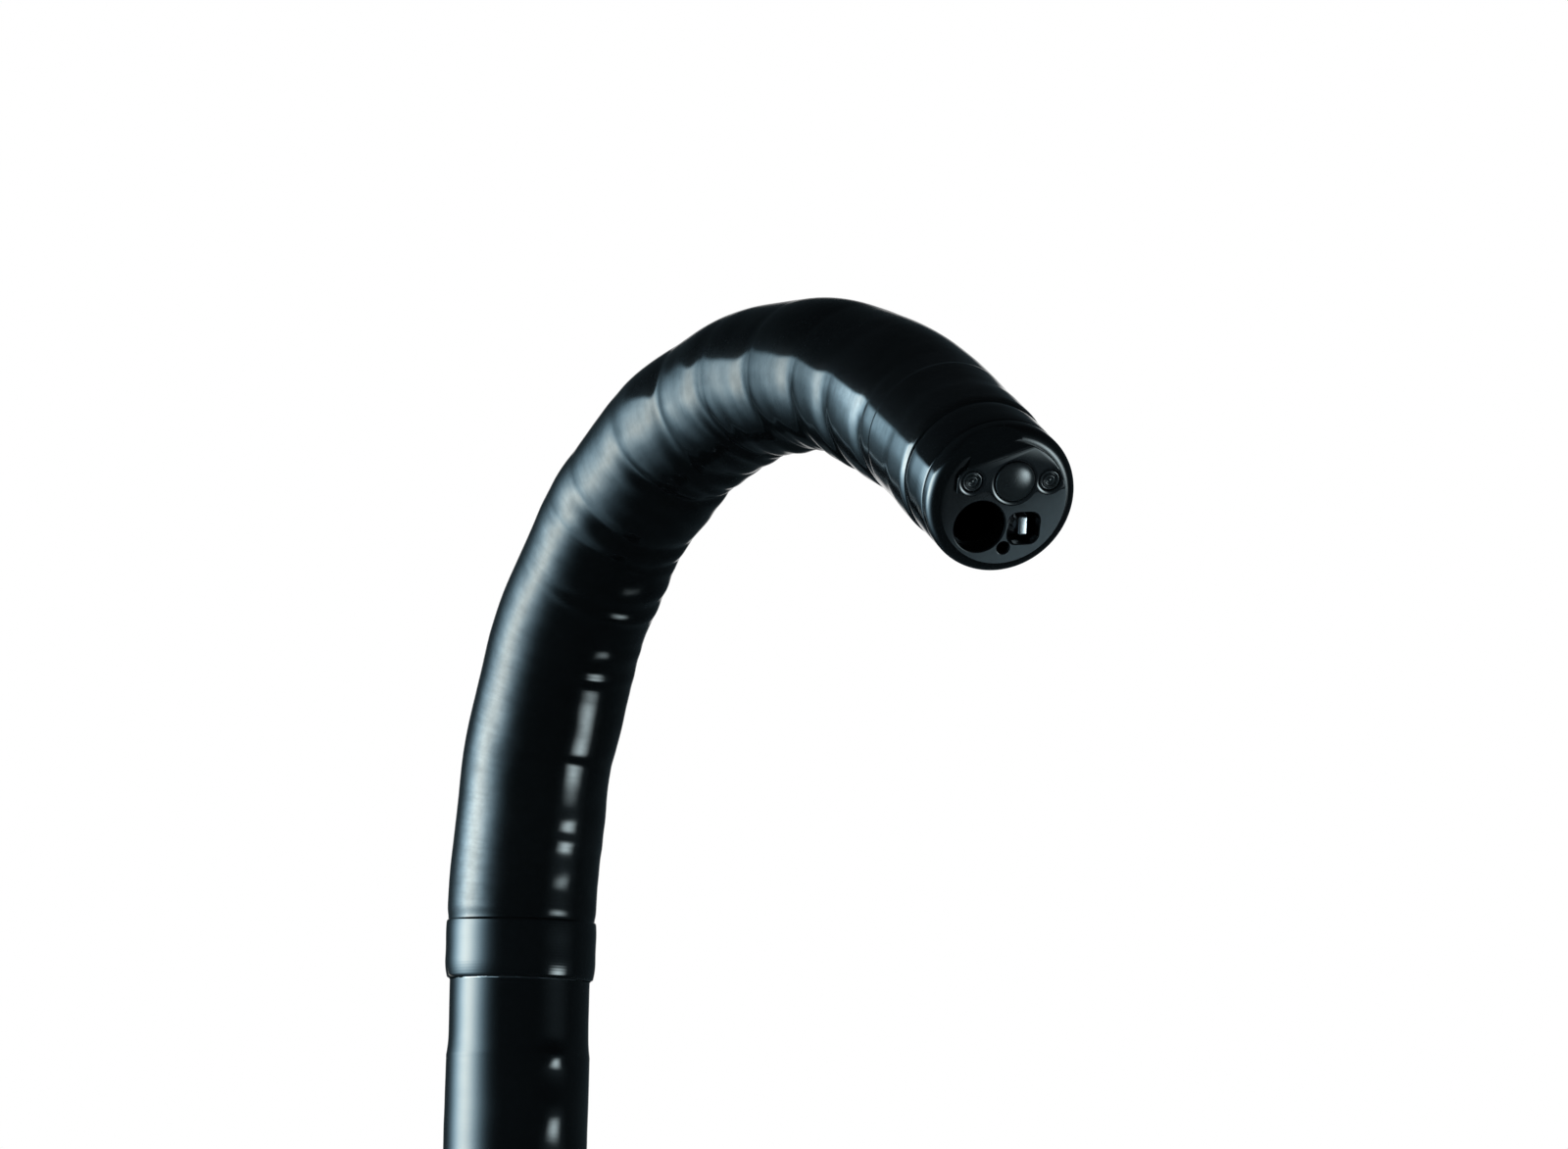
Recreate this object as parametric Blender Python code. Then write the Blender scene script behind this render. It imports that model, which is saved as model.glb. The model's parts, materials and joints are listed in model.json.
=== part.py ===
# Flexible endoscope, distal end: the tip, the bending section, the junction and the front of the
# insertion tube. Everything is in metres. The tube stands on its rear ferrule at the origin and
# rises along +Z. It bends towards +X, which is the camera's "down"; +Y is the camera's "right".
#
# Every piece is placed by its distance along the tube's neutral line, measured from the rear
# face of the ferrule, and by its offset (down, right) from that line. The line is straight in
# the insertion tube and in the tip, and turns at each hinge of the chain of links between them.

import math

import bmesh
import bpy
from mathutils import Matrix, Vector

MM = 0.001

# Insertion tube, rear to front
FERRULE_FLANGE_STEP = 0.9 * MM
FERRULE_FLANGE_LENGTH = 2.6 * MM
FERRULE_NECK_WALL = 0.57 * MM
FERRULE_NECK_LENGTH = 4.8 * MM
FERRULE_FLOOR = 2.0 * MM
FERRULE_LEDGE = 0.37 * MM
FERRULE_BEVEL = 0.3 * MM
LINE_REAR = 0.4 * MM
TUBE_LENGTH = 21.8 * MM
TUBE_REAR_GAP = 0.2 * MM
JACKET_STEP = 0.18 * MM
COLLAR_DROP = 0.14 * MM
COLLAR_LENGTH = 5.2 * MM
COLLAR_STEP = 0.15 * MM
JACKET_WALL = 0.37 * MM
TUBE_BRAID_WALL = 0.06 * MM
COIL_BAND_WALL = 0.25 * MM
COIL_BAND_WIDTH = 2.4 * MM
COIL_BAND_PITCH = 3.1 * MM

# Junction of the insertion tube and the bending section
BAND_PROUD = 0.10 * MM
BAND_LENGTH = 4.5 * MM
BAND_GROOVE_DEPTH = 0.10 * MM
BAND_BEVEL = 0.2 * MM
COIL_PIPE_RADIUS = 0.5 * MM
COIL_PIPE_BORE_RADIUS = 0.3 * MM
COIL_PIPE_REACH = 1.0 * MM
FERRULE_SLEEVE_OVERLAP = 3.6 * MM

# Chain of links
HINGE_COUNT = 16
LINK_PITCH = 5.0 * MM
FIRST_HINGE_LEAD = 2.5 * MM
LINK_FLAT = 4.72 * MM
LINK_WALL = 0.30 * MM
LINK_FACETS = 12
HINGE_LIMIT = math.radians(33.0)
EAR_GAP = 0.06 * MM
EAR_THICKNESS = 0.30 * MM
EAR_RUN = 2.1 * MM
EAR_SIDE_GAP = 0.02 * MM
PAD_HALF = 0.6 * MM
PAD_STEP = 0.12 * MM
WELD_SINK = 0.05 * MM
PIN_SINK = 0.1 * MM
PIVOT_RADIUS = 0.30 * MM
PIVOT_CLEARANCE = 0.05 * MM
PIVOT_PROUD = 0.07 * MM
RIM_CLEARANCE = 0.08 * MM
WIRE_RADIUS = 0.18 * MM
WIRE_CLEARANCE = 0.07 * MM
WIRE_GUIDE_WIDTH = 0.76 * MM
WIRE_GUIDE_LENGTH = 0.32 * MM

# Rest bend: degrees down and left in all, and how each is shared out along the chain
BEND_DOWN = math.radians(112.8)
BEND_LEFT = math.radians(31.4)
DOWN_SHARE_AT_ENDS = 0.56
LEFT_SHARE_AT_REAR = 0.22

# A small tube runs straight past a hinge that turns less than this
SLACK_TURN = math.radians(6.5)

# Skins of the bending section
SECTION_BRAID_CLEARANCE = 0.10 * MM
SECTION_BRAID_WALL = 0.05 * MM
COVER_CLEARANCE = 0.12 * MM
COVER_WALL = 0.46 * MM
COVER_BULGE = 0.10 * MM
COVER_PINCHED_WALL = 0.20 * MM
COVER_HEM = 0.3 * MM
COVER_HEM_DROP = 0.25 * MM
SECTION_BRAID_REAR = 0.4 * MM
SECTION_BRAID_REACH = 4.0 * MM

# Tip: lengths are measured back from the face
TIP_LENGTH = 15.75 * MM
TIP_BAND_WALL = 0.62 * MM
TIP_RIM_BLEND = 0.95 * MM
CHORD_DISTANCE = 3.42 * MM
CHORD_TILT = math.radians(16)
CHORD_SLOPE = math.radians(28)
PLATFORM_EDGE = 0.90 * MM
PLATFORM_LIP = 0.22 * MM
PLATFORM_FOOT = 0.3 * MM
PLATFORM_INSET = 0.08 * MM
PLATFORM_SIDE_GAP = 0.02 * MM
PLATFORM_CORNER = 0.9 * MM
CAP_DISC_LENGTH = 2.0 * MM
CAP_SKIRT_LENGTH = 4.6 * MM
CAP_SKIRT_WALL = 0.25 * MM
CAP_BEVEL = 0.2 * MM
PLATFORM_HEIGHT = 0.35 * MM
TIP_BAND_LENGTH = 3.8 * MM
TIP_BAND_BEVEL = 0.22 * MM
TIP_BODY_CLEARANCE = 0.26 * MM
TIP_BODY_REAR = 2.0 * MM
TIP_BODY_SHOULDER = 5.3 * MM
TIP_BODY_FRONT_GAP = 1.9 * MM
TIP_BODY_FRONT_CLEARANCE = 0.2 * MM
TIP_RING_LENGTH = 5.0 * MM
WIRE_SOCKET_DEPTH = 2.6 * MM
TUBE_SOCKET_DEPTH = 2.4 * MM

# What runs through the tube: offsets (right, up) as seen facing the tip, and radii
CHANNEL_AT = (-1.40 * MM, -1.40 * MM)
CHANNEL_RADIUS = 2.15 * MM
CHANNEL_BORE_RADIUS = 1.90 * MM
CHANNEL_MOUTH_AT = (-1.64 * MM, -1.86 * MM)
SLEEVE_RADIUS = 2.05 * MM
AIR_AT = (1.90 * MM, -0.30 * MM)
WATER_AT = (2.50 * MM, -2.10 * MM)
FLUID_TUBE_RADIUS = 0.70 * MM
FLUID_BORE_RADIUS = 0.45 * MM
NOZZLE_AT = (1.72 * MM, -2.12 * MM)
NOZZLE_RADIUS = 0.85 * MM
NOZZLE_LENGTH = 3.4 * MM
NOZZLE_SEAT = 0.3 * MM
NOZZLE_ROOF = 0.35 * MM
NOZZLE_SPOUT_CHAMFER = 0.2 * MM
OUTLET_RADIUS = 0.45 * MM
OUTLET_RISE = 0.32 * MM
OUTLET_OFFSET = 0.5 * MM
NOZZLE_SPOUT_RADIUS = 0.62 * MM
NOZZLE_BORE_RADIUS = 0.38 * MM
NOZZLE_RECESS_HALF = 1.18 * MM
NOZZLE_RECESS_CORNER = 0.55 * MM
PASSAGE_RADIUS = 0.40 * MM
JET_AT = (1.20 * MM, -3.05 * MM)
JET_RADIUS = 0.55 * MM
JET_BORE_RADIUS = 0.38 * MM
JET_MOUTH_AT = (0.32 * MM, -3.55 * MM)
JET_MOUTH_RADIUS = 0.42 * MM
JET_PIPE_RADIUS = 0.45 * MM
JET_PIPE_BORE_RADIUS = 0.33 * MM
LENS_AT = (0.55 * MM, 1.60 * MM)
LENS_RADIUS = 1.48 * MM
LENS_DOME = 0.38 * MM
LENS_SEAT = 0.9 * MM
BARREL_RADIUS = 1.35 * MM
BARREL_BORE_RADIUS = 1.15 * MM
BARREL_LENGTH = 5.0 * MM
SENSOR_RADIUS = 1.28 * MM
CABLE_RADIUS = 1.10 * MM
LEFT_LIGHT_AT = (-2.65 * MM, 1.70 * MM)
RIGHT_LIGHT_AT = (3.20 * MM, 1.60 * MM)
LIGHT_GUIDE_RADIUS = 0.78 * MM
LIGHT_LENS_RADIUS = 0.75 * MM
LIGHT_LENS_LENGTH = 1.0 * MM
LIGHT_RING_DEPTH = 0.12 * MM
LIGHT_RECESS = 0.02 * MM
SEAT_CLEARANCE = 0.04 * MM
FACE_GAP = 0.05 * MM
END_GAP = 0.1 * MM

# How far a cutter reaches past what it cuts, and the block that cuts the slope above the lens
CUT_BEYOND = 1.0 * MM
CHAMFER_BLOCK = 14.0 * MM

# Facets around each kind of round piece
TURNED_SIDES = 20
SKIN_SIDES = 16
LENS_SIDES = 16
CHANNEL_SIDES = 10
ROD_SIDES = 8
FINE_SIDES = 6
WIRE_SIDES = 4

# Radii that follow from the links inside them
SECTION_BRAID_BORE_RADIUS = LINK_FLAT / math.cos(math.pi / LINK_FACETS) + SECTION_BRAID_CLEARANCE
COVER_BORE_RADIUS = SECTION_BRAID_BORE_RADIUS + SECTION_BRAID_WALL + COVER_CLEARANCE
COVER_RADIUS = COVER_BORE_RADIUS + COVER_WALL
TIP_BODY_RADIUS = COVER_BORE_RADIUS - TIP_BODY_CLEARANCE
TIP_RADIUS = TIP_BODY_RADIUS + SEAT_CLEARANCE + TIP_BAND_WALL
BAND_RADIUS = COVER_RADIUS + BAND_PROUD
JACKET_RADIUS = COVER_RADIUS - JACKET_STEP
JACKET_BORE_RADIUS = JACKET_RADIUS - JACKET_WALL
COLLAR_RADIUS = JACKET_RADIUS - COLLAR_DROP
FERRULE_SOCKET_RADIUS = JACKET_RADIUS + SEAT_CLEARANCE + FACE_GAP
FERRULE_BORE_RADIUS = JACKET_BORE_RADIUS - FERRULE_LEDGE
FERRULE_NECK_RADIUS = FERRULE_SOCKET_RADIUS + FERRULE_NECK_WALL
FERRULE_FLANGE_RADIUS = FERRULE_NECK_RADIUS + FERRULE_FLANGE_STEP

# Places along the neutral line that follow from the sizes above
TUBE_REAR = FERRULE_FLOOR + TUBE_REAR_GAP
TUBE_FRONT = TUBE_REAR + TUBE_LENGTH
BAND_FRONT = TUBE_FRONT + BAND_LENGTH
FIRST_HINGE = BAND_FRONT + FIRST_HINGE_LEAD
LAST_HINGE = FIRST_HINGE + (HINGE_COUNT - 1) * LINK_PITCH
FACE = LAST_HINGE + TIP_LENGTH
HINGES = [FIRST_HINGE + k * LINK_PITCH for k in range(HINGE_COUNT)]


def clear_scene():
    for item in list(bpy.data.objects):
        bpy.data.objects.remove(item, do_unlink=True)


def make_material(name, colour, roughness, metallic):
    material = bpy.data.materials.new(name)
    material.use_nodes = True
    shader = material.node_tree.nodes["Principled BSDF"]
    shader.inputs["Base Color"].default_value = (*colour, 1.0)
    shader.inputs["Roughness"].default_value = roughness
    shader.inputs["Metallic"].default_value = metallic
    material.diffuse_color = (*colour, 1.0)
    return material


def add_object(name, mesh, material):
    piece = bpy.data.objects.new(name, mesh)
    mesh.materials.clear()
    mesh.materials.append(material)
    mesh.shade_smooth()
    mesh.set_sharp_from_angle(angle=math.radians(35))
    bpy.context.scene.collection.objects.link(piece)
    return piece


def mesh_from(bm, name):
    bmesh.ops.recalc_face_normals(bm, faces=bm.faces)
    mesh = bpy.data.meshes.new(name)
    bm.to_mesh(mesh)
    bm.free()
    return mesh


# The neutral line


def rest_angles():
    # Odd hinges bend down and even hinges bend left; each kind shares its total by a smooth law.
    along = [(k + 0.5) / HINGE_COUNT for k in range(HINGE_COUNT)]
    down = [DOWN_SHARE_AT_ENDS + math.sin(math.pi * t) for t in along[0::2]]
    left = [LEFT_SHARE_AT_REAR + t for t in along[1::2]]
    angles = []
    for down_share, left_share in zip(down, left):
        angles.append(BEND_DOWN * down_share / sum(down))
        angles.append(BEND_LEFT * left_share / sum(left))
    return angles


def hinge_turn(index, angle):
    # About +Y a link bends towards +X (down); about +X it bends towards -Y (left).
    return Matrix.Rotation(angle, 4, "Y" if index % 2 == 0 else "X")


def chain():
    # Returns the frame in front of each hinge, with its origin on that hinge.
    frames = []
    current = Matrix.Translation((0, 0, FIRST_HINGE))
    for index, angle in enumerate(rest_angles()):
        current = current @ hinge_turn(index, angle)
        frames.append(current.copy())
        current = current @ Matrix.Translation((0, 0, LINK_PITCH))
    return frames


REST_ANGLES = rest_angles()
FRAMES = chain()


def section_at(distance):
    # The matrix that carries (down, right, 0) to the cross-section at this distance. On a hinge
    # the section lies halfway between the two links and is stretched as a mitre is.
    if distance < FIRST_HINGE - 1e-9:
        return Matrix.Translation((0, 0, distance))
    index = min(int((distance - FIRST_HINGE) / LINK_PITCH + 1e-6), HINGE_COUNT - 1)
    beyond = distance - HINGES[index]
    if beyond > 1e-9:
        return FRAMES[index] @ Matrix.Translation((0, 0, beyond))
    half = REST_ANGLES[index] / 2
    stretch = 1 / math.cos(half)
    scale = (stretch, 1, 1) if index % 2 == 0 else (1, stretch, 1)
    return FRAMES[index] @ hinge_turn(index, -half) @ Matrix.Diagonal((*scale, 1))


def hinges_between(start, end):
    return [s for s in HINGES if start + END_GAP < s < end - END_GAP]


def offset(at):
    # (right, up) seen from in front of the face becomes (down, right).
    return Vector((-at[1], at[0], 0))


# Skins, tubes and rods that follow the line


def ring(bm, distance, radius, sides, centre=(0, 0, 0), turn=0.5):
    section = section_at(distance)
    points = []
    for i in range(sides):
        angle = 2 * math.pi * (i + turn) / sides
        local = Vector((radius * math.cos(angle), radius * math.sin(angle), 0)) + Vector(centre)
        points.append(bm.verts.new(section @ local))
    return points


def within(radius, sides):
    # The largest circle inside a bore that is faceted at this radius.
    return radius * math.cos(math.pi / sides)


def bridge(bm, first, second):
    for i in range(len(first)):
        j = (i + 1) % len(first)
        bm.faces.new((first[i], first[j], second[j], second[i]))


def skin(bm, profile, sides, centre_at=None):
    # A loft through the sections of the profile, a list of (distance, radius).
    rings = []
    for distance, radius in profile:
        centre = centre_at(distance) if centre_at else (0, 0, 0)
        rings.append(ring(bm, distance, radius, sides, centre))
    for first, second in zip(rings, rings[1:]):
        bridge(bm, first, second)
    return rings


def hollow(name, outer, inner, sides, material, centre_at=None):
    # A shell whose outer and inner walls each follow their own profile and meet at both ends.
    bm = bmesh.new()
    outside = skin(bm, outer, sides, centre_at)
    inside = skin(bm, inner, sides, centre_at)
    bridge(bm, outside[0], inside[0])
    bridge(bm, outside[-1], inside[-1])
    return add_object(name, mesh_from(bm, name), material)


def solid_mesh(name, profile, sides, centre_at=None):
    bm = bmesh.new()
    rings = skin(bm, profile, sides, centre_at)
    bm.faces.new(rings[0])
    bm.faces.new(rings[-1])
    return mesh_from(bm, name)


def solid(name, profile, sides, material, centre_at=None):
    return add_object(name, solid_mesh(name, profile, sides, centre_at), material)


def run(start, end, radius):
    # A constant radius from start to end, with a section on each hinge between them.
    return [(s, radius) for s in [start, *hinges_between(start, end), end]]


def slack_run(start, end, radius):
    # As run, but with sections only on the hinges that turn enough for a small tube to follow.
    followed = [s for s, a in zip(HINGES, REST_ANGLES) if abs(a) > SLACK_TURN or s == LAST_HINGE]
    between = [s for s in hinges_between(start, end) if s in followed]
    return [(s, radius) for s in [start, *between, end]]


def fixed_at(at):
    return lambda distance: offset(at)


def slanting(at_rear, at_front, start, end):
    def centre(distance):
        share = min(max((distance - start) / (end - start), 0), 1)
        return offset(at_rear).lerp(offset(at_front), share)

    return centre


# Booleans


def cut(piece, cutters):
    for index, cutter in enumerate(cutters):
        cutter.hide_render = True
        cutter.display_type = "WIRE"
        modifier = piece.modifiers.new(f"cut_{index}", "BOOLEAN")
        modifier.operation = "DIFFERENCE"
        modifier.object = cutter


def cutter_rod(name, profile, sides, centre_at=None):
    cutter = bpy.data.objects.new(name, solid_mesh(name, profile, sides, centre_at))
    bpy.context.scene.collection.objects.link(cutter)
    return cutter


def union_mesh(name, base, additions, cutters):
    # Joins the additions to the base, cuts the cutters away and returns the finished mesh.
    target = bpy.data.objects.new(name, base)
    bpy.context.scene.collection.objects.link(target)
    helpers = []
    for operation, meshes in (("UNION", additions), ("DIFFERENCE", cutters)):
        for mesh in meshes:
            helper = bpy.data.objects.new(mesh.name, mesh)
            bpy.context.scene.collection.objects.link(helper)
            helpers.append(helper)
            modifier = target.modifiers.new(operation.lower(), "BOOLEAN")
            modifier.operation = operation
            modifier.object = helper
    bpy.context.view_layer.update()
    graph = bpy.context.evaluated_depsgraph_get()
    finished = bpy.data.meshes.new_from_object(target.evaluated_get(graph))
    finished.name = name
    for helper in [*helpers, target]:
        bpy.data.objects.remove(helper, do_unlink=True)
    return finished


# Sheet-metal links

FACET_ANGLE = 2 * math.pi / LINK_FACETS
LINK_CORNER = LINK_FLAT / math.cos(FACET_ANGLE / 2)
FACET_HALF = LINK_FLAT * math.tan(FACET_ANGLE / 2)
RIM_SLOPE = math.tan(HINGE_LIMIT / 2)
EAR_RECESS = FACET_HALF + RIM_CLEARANCE
EAR_OUTER = LINK_FLAT - LINK_WALL - EAR_GAP
EAR_INNER = EAR_OUTER - EAR_THICKNESS
WIRE_RING_RADIUS = EAR_INNER - WIRE_RADIUS - WIRE_CLEARANCE
EAR_HALF = FACET_HALF * (1 - LINK_WALL / LINK_FLAT) - EAR_SIDE_GAP


def rim_back(lever):
    # How far a rim stays behind its hinge, at this distance from the hinge's axis.
    return RIM_CLEARANCE + RIM_SLOPE * abs(lever)


class Sheet:
    # The outer wall of a faceted ring, whose every point has a twin on the inner wall.

    def __init__(self):
        self.bm = bmesh.new()
        self.twins = {}

    def add(self, outer, inner):
        vert = self.bm.verts.new(outer)
        self.twins[vert] = self.bm.verts.new(inner)
        return vert

    def corner(self, index, height):
        angle = (index - 0.5) * FACET_ANGLE
        x, y = LINK_CORNER * math.cos(angle), LINK_CORNER * math.sin(angle)
        shrink = 1 - LINK_WALL / LINK_FLAT
        return self.add((x, y, height), (x * shrink, y * shrink, height))

    def flat(self, index, across, height):
        turn = Matrix.Rotation(index * FACET_ANGLE, 3, "Z")
        outer = turn @ Vector((LINK_FLAT, across, height))
        inner = turn @ Vector((LINK_FLAT - LINK_WALL, across, height))
        return self.add(outer, inner)

    def face(self, verts):
        self.bm.faces.new(verts)
        self.bm.faces.new([self.twins[v] for v in reversed(verts)])

    def close(self, name):
        outer = set(self.twins)
        open_edges = [e for e in self.bm.edges if len(e.link_faces) == 1 and e.verts[0] in outer]
        for edge in open_edges:
            a, b = edge.verts
            self.bm.faces.new((a, b, self.twins[b], self.twins[a]))
        return mesh_from(self.bm, name)


def ear_with_hole(sheet, facet, rear_left, front_left, front_right, rear_right, front_height):
    # A round ear behind the hinge's axis, holed for the pivot, made as two mirrored halves.
    hole_corner = (PIVOT_RADIUS + PIVOT_CLEARANCE) / math.cos(math.pi / 6)
    foot = sheet.flat(facet, 0, -FACET_HALF)
    crown = sheet.flat(facet, 0, front_height)
    hole_foot = sheet.flat(facet, 0, -hole_corner)
    hole_crown = sheet.flat(facet, 0, hole_corner)
    for side, rear, front in ((-1, rear_left, front_left), (1, rear_right, front_right)):
        reach = FACET_HALF * math.sqrt(0.5)
        flank = sheet.flat(facet, side * reach, -reach)
        bore = []
        for angle in (math.pi / 3, 2 * math.pi / 3):
            across = side * hole_corner * math.sin(angle)
            bore.append(sheet.flat(facet, across, -hole_corner * math.cos(angle)))
        loop = [rear, flank, foot, hole_foot, *bore, hole_crown, crown, front]
        sheet.face(loop if side < 0 else loop[::-1])


def ring_mesh(name, length, rear_hinge, front_hinge):
    # A ring with holed ears at its rear hinge (about Y) and room at its front hinge (about X).
    quarter = LINK_FACETS // 4
    ear_facets = (quarter, 3 * quarter) if rear_hinge else ()
    seat_facets = (0, 2 * quarter) if front_hinge == "X" else ()
    if front_hinge == "Y":
        seat_facets = (quarter, 3 * quarter)
    sheet = Sheet()
    rear, front, seat = {}, {}, {}
    for i in range(LINK_FACETS):
        angle = (i - 0.5) * FACET_ANGLE
        x, y = LINK_CORNER * math.cos(angle), LINK_CORNER * math.sin(angle)
        rear[i] = sheet.corner(i, rim_back(x) if rear_hinge else 0)
        lever = {"X": y, "Y": x}.get(front_hinge)
        front[i] = sheet.corner(i, length - rim_back(lever) if front_hinge else length)
        if i in seat_facets or (i - 1) % LINK_FACETS in seat_facets:
            seat[i] = sheet.corner(i, length - EAR_RECESS)
    for i in range(LINK_FACETS):
        j = (i + 1) % LINK_FACETS
        if i in seat_facets:
            sheet.face([rear[i], rear[j], seat[j], seat[i]])
        elif i in ear_facets:
            height = front[i].co.z
            ear_with_hole(sheet, i, rear[i], front[i], front[j], rear[j], height)
        else:
            after = [seat[j]] if j in seat else []
            before = [seat[i]] if i in seat else []
            sheet.face([rear[i], rear[j], *after, front[j], front[i], *before])
    return sheet.close(name)


def prism(name, outline, axis_start, axis_end, place):
    # An outline of (across, height) swept along the radial direction from start to end.
    bm = bmesh.new()
    low = [bm.verts.new(place(axis_start, a, h)) for a, h in outline]
    high = [bm.verts.new(place(axis_end, a, h)) for a, h in outline]
    bm.faces.new(low)
    bm.faces.new(high)
    bridge(bm, low, high)
    return mesh_from(bm, name)


def inner_ear(angle, hinge_height):
    # The ear plate with its weld pad, pivot pin and wire guide, at this angle round the ring.
    turn = Matrix.Rotation(angle, 3, "Z")

    def place(radial, across, height):
        return turn @ Vector((radial, across, height + hinge_height))

    arc = [math.radians(a) for a in (0, 60, 120, 180)]
    plate = [(EAR_HALF * math.cos(a), EAR_HALF * math.sin(a)) for a in arc]
    plate += [(-EAR_HALF, -EAR_RUN), (EAR_HALF, -EAR_RUN)]
    front = -EAR_RECESS - PAD_STEP
    rear = PAD_STEP - EAR_RUN
    pad = [(-PAD_HALF, rear), (PAD_HALF, rear), (PAD_HALF, front), (-PAD_HALF, front)]
    pin = [
        (PIVOT_RADIUS * math.cos(math.pi * k / 3), PIVOT_RADIUS * math.sin(math.pi * k / 3))
        for k in range(6)
    ]
    half_width, half_length = WIRE_GUIDE_WIDTH / 2, WIRE_GUIDE_LENGTH / 2
    guide = [
        (-half_width, -half_length),
        (half_width, -half_length),
        (half_width, half_length),
        (-half_width, half_length),
    ]
    wall_middle = LINK_FLAT - LINK_WALL / 2
    guide_foot = WIRE_RING_RADIUS - WIRE_RADIUS - WIRE_CLEARANCE - PIN_SINK
    additions = [
        prism("plate", plate, EAR_INNER, EAR_OUTER, place),
        prism("pad", pad, EAR_OUTER - WELD_SINK, wall_middle, place),
        prism("pin", pin, EAR_INNER + PIN_SINK, LINK_FLAT + PIVOT_PROUD, place),
        prism("guide", guide, guide_foot, EAR_INNER + WELD_SINK, place),
    ]
    hole_radius = WIRE_RADIUS + WIRE_CLEARANCE / math.cos(math.pi / WIRE_SIDES)
    hole = []
    for k in range(WIRE_SIDES):
        a = 2 * math.pi * (k + 0.5) / WIRE_SIDES
        hole.append((WIRE_RING_RADIUS + hole_radius * math.sin(a), hole_radius * math.cos(a)))
    bm = bmesh.new()
    reach = WIRE_GUIDE_LENGTH
    low = [bm.verts.new(place(r, across, -reach)) for r, across in hole]
    high = [bm.verts.new(place(r, across, reach)) for r, across in hole]
    bm.faces.new(low)
    bm.faces.new(high)
    bridge(bm, low, high)
    return additions, [mesh_from(bm, "wire_hole")]


def eared_ring_mesh(name, length, rear_hinge, front_hinge):
    base = ring_mesh(name, length, rear_hinge, front_hinge)
    start = 0 if front_hinge == "X" else math.pi / 2
    additions, cutters = [], []
    for angle in (start, start + math.pi):
        more, holes = inner_ear(angle, length)
        additions += more
        cutters += holes
    return union_mesh(name, base, additions, cutters)


def place_ring(name, mesh, frame, material):
    piece = add_object(name, mesh, material)
    piece.matrix_world = frame
    return piece


# The pieces


def insertion_tube(materials):
    steel, black = materials["steel"], materials["jacket"]
    flange_front = FERRULE_FLANGE_LENGTH
    neck_front = flange_front + FERRULE_NECK_LENGTH
    socket = FERRULE_SOCKET_RADIUS
    bevel = FERRULE_BEVEL
    outer = [
        (0, FERRULE_FLANGE_RADIUS - bevel),
        (bevel, FERRULE_FLANGE_RADIUS),
        (flange_front - bevel, FERRULE_FLANGE_RADIUS),
        (flange_front, FERRULE_FLANGE_RADIUS - bevel),
        (flange_front, FERRULE_NECK_RADIUS),
        (neck_front - bevel, FERRULE_NECK_RADIUS),
        (neck_front, FERRULE_NECK_RADIUS - bevel),
    ]
    inner = [(0, FERRULE_BORE_RADIUS), (FERRULE_FLOOR, FERRULE_BORE_RADIUS)]
    inner += [(FERRULE_FLOOR, socket), (neck_front, socket)]
    hollow("rear_ferrule", outer, inner, TURNED_SIDES, steel)

    collar = TUBE_FRONT - COLLAR_LENGTH
    outer = [
        (TUBE_REAR, JACKET_RADIUS),
        (collar - COLLAR_STEP, JACKET_RADIUS),
        (collar + COLLAR_STEP, COLLAR_RADIUS),
        (TUBE_FRONT, COLLAR_RADIUS),
    ]
    inner = [(TUBE_REAR, JACKET_BORE_RADIUS), (TUBE_FRONT, JACKET_BORE_RADIUS)]
    hollow("insertion_tube_jacket", outer, inner, TURNED_SIDES, black)

    braid = JACKET_BORE_RADIUS - FACE_GAP
    outer = [(TUBE_REAR, braid), (TUBE_FRONT, braid)]
    inner = [(TUBE_REAR, braid - TUBE_BRAID_WALL), (TUBE_FRONT, braid - TUBE_BRAID_WALL)]
    hollow("insertion_tube_braid", outer, inner, TURNED_SIDES, steel)

    clear = within(braid - TUBE_BRAID_WALL, TURNED_SIDES) - SEAT_CLEARANCE
    flat_coil("insertion_tube_coil", clear, steel)


def flat_coil(name, radius, material):
    # A flat steel band wound in a helix, from the ferrule to the rear of the junction sleeve.
    start = TUBE_REAR + COIL_BAND_WIDTH / 2
    end = TUBE_FRONT - FERRULE_SLEEVE_OVERLAP - COIL_BAND_WIDTH / 2 - SEAT_CLEARANCE
    turns = (end - start) / COIL_BAND_PITCH
    steps = int(turns * SKIN_SIDES)
    half = COIL_BAND_WIDTH / 2
    bm = bmesh.new()
    sections = []
    for i in range(steps + 1):
        angle = 2 * math.pi * (i + 0.5) / SKIN_SIDES
        height = start + COIL_BAND_PITCH * i / SKIN_SIDES
        section = []
        for wall, rise in ((0, -half), (0, half), (COIL_BAND_WALL, half), (COIL_BAND_WALL, -half)):
            reach = radius - wall
            point = (reach * math.cos(angle), reach * math.sin(angle), height + rise)
            section.append(bm.verts.new(point))
        sections.append(section)
    for first, second in zip(sections, sections[1:]):
        bridge(bm, first, second)
    bm.faces.new(sections[0])
    bm.faces.new(sections[-1])
    add_object(name, mesh_from(bm, name), material)


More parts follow.
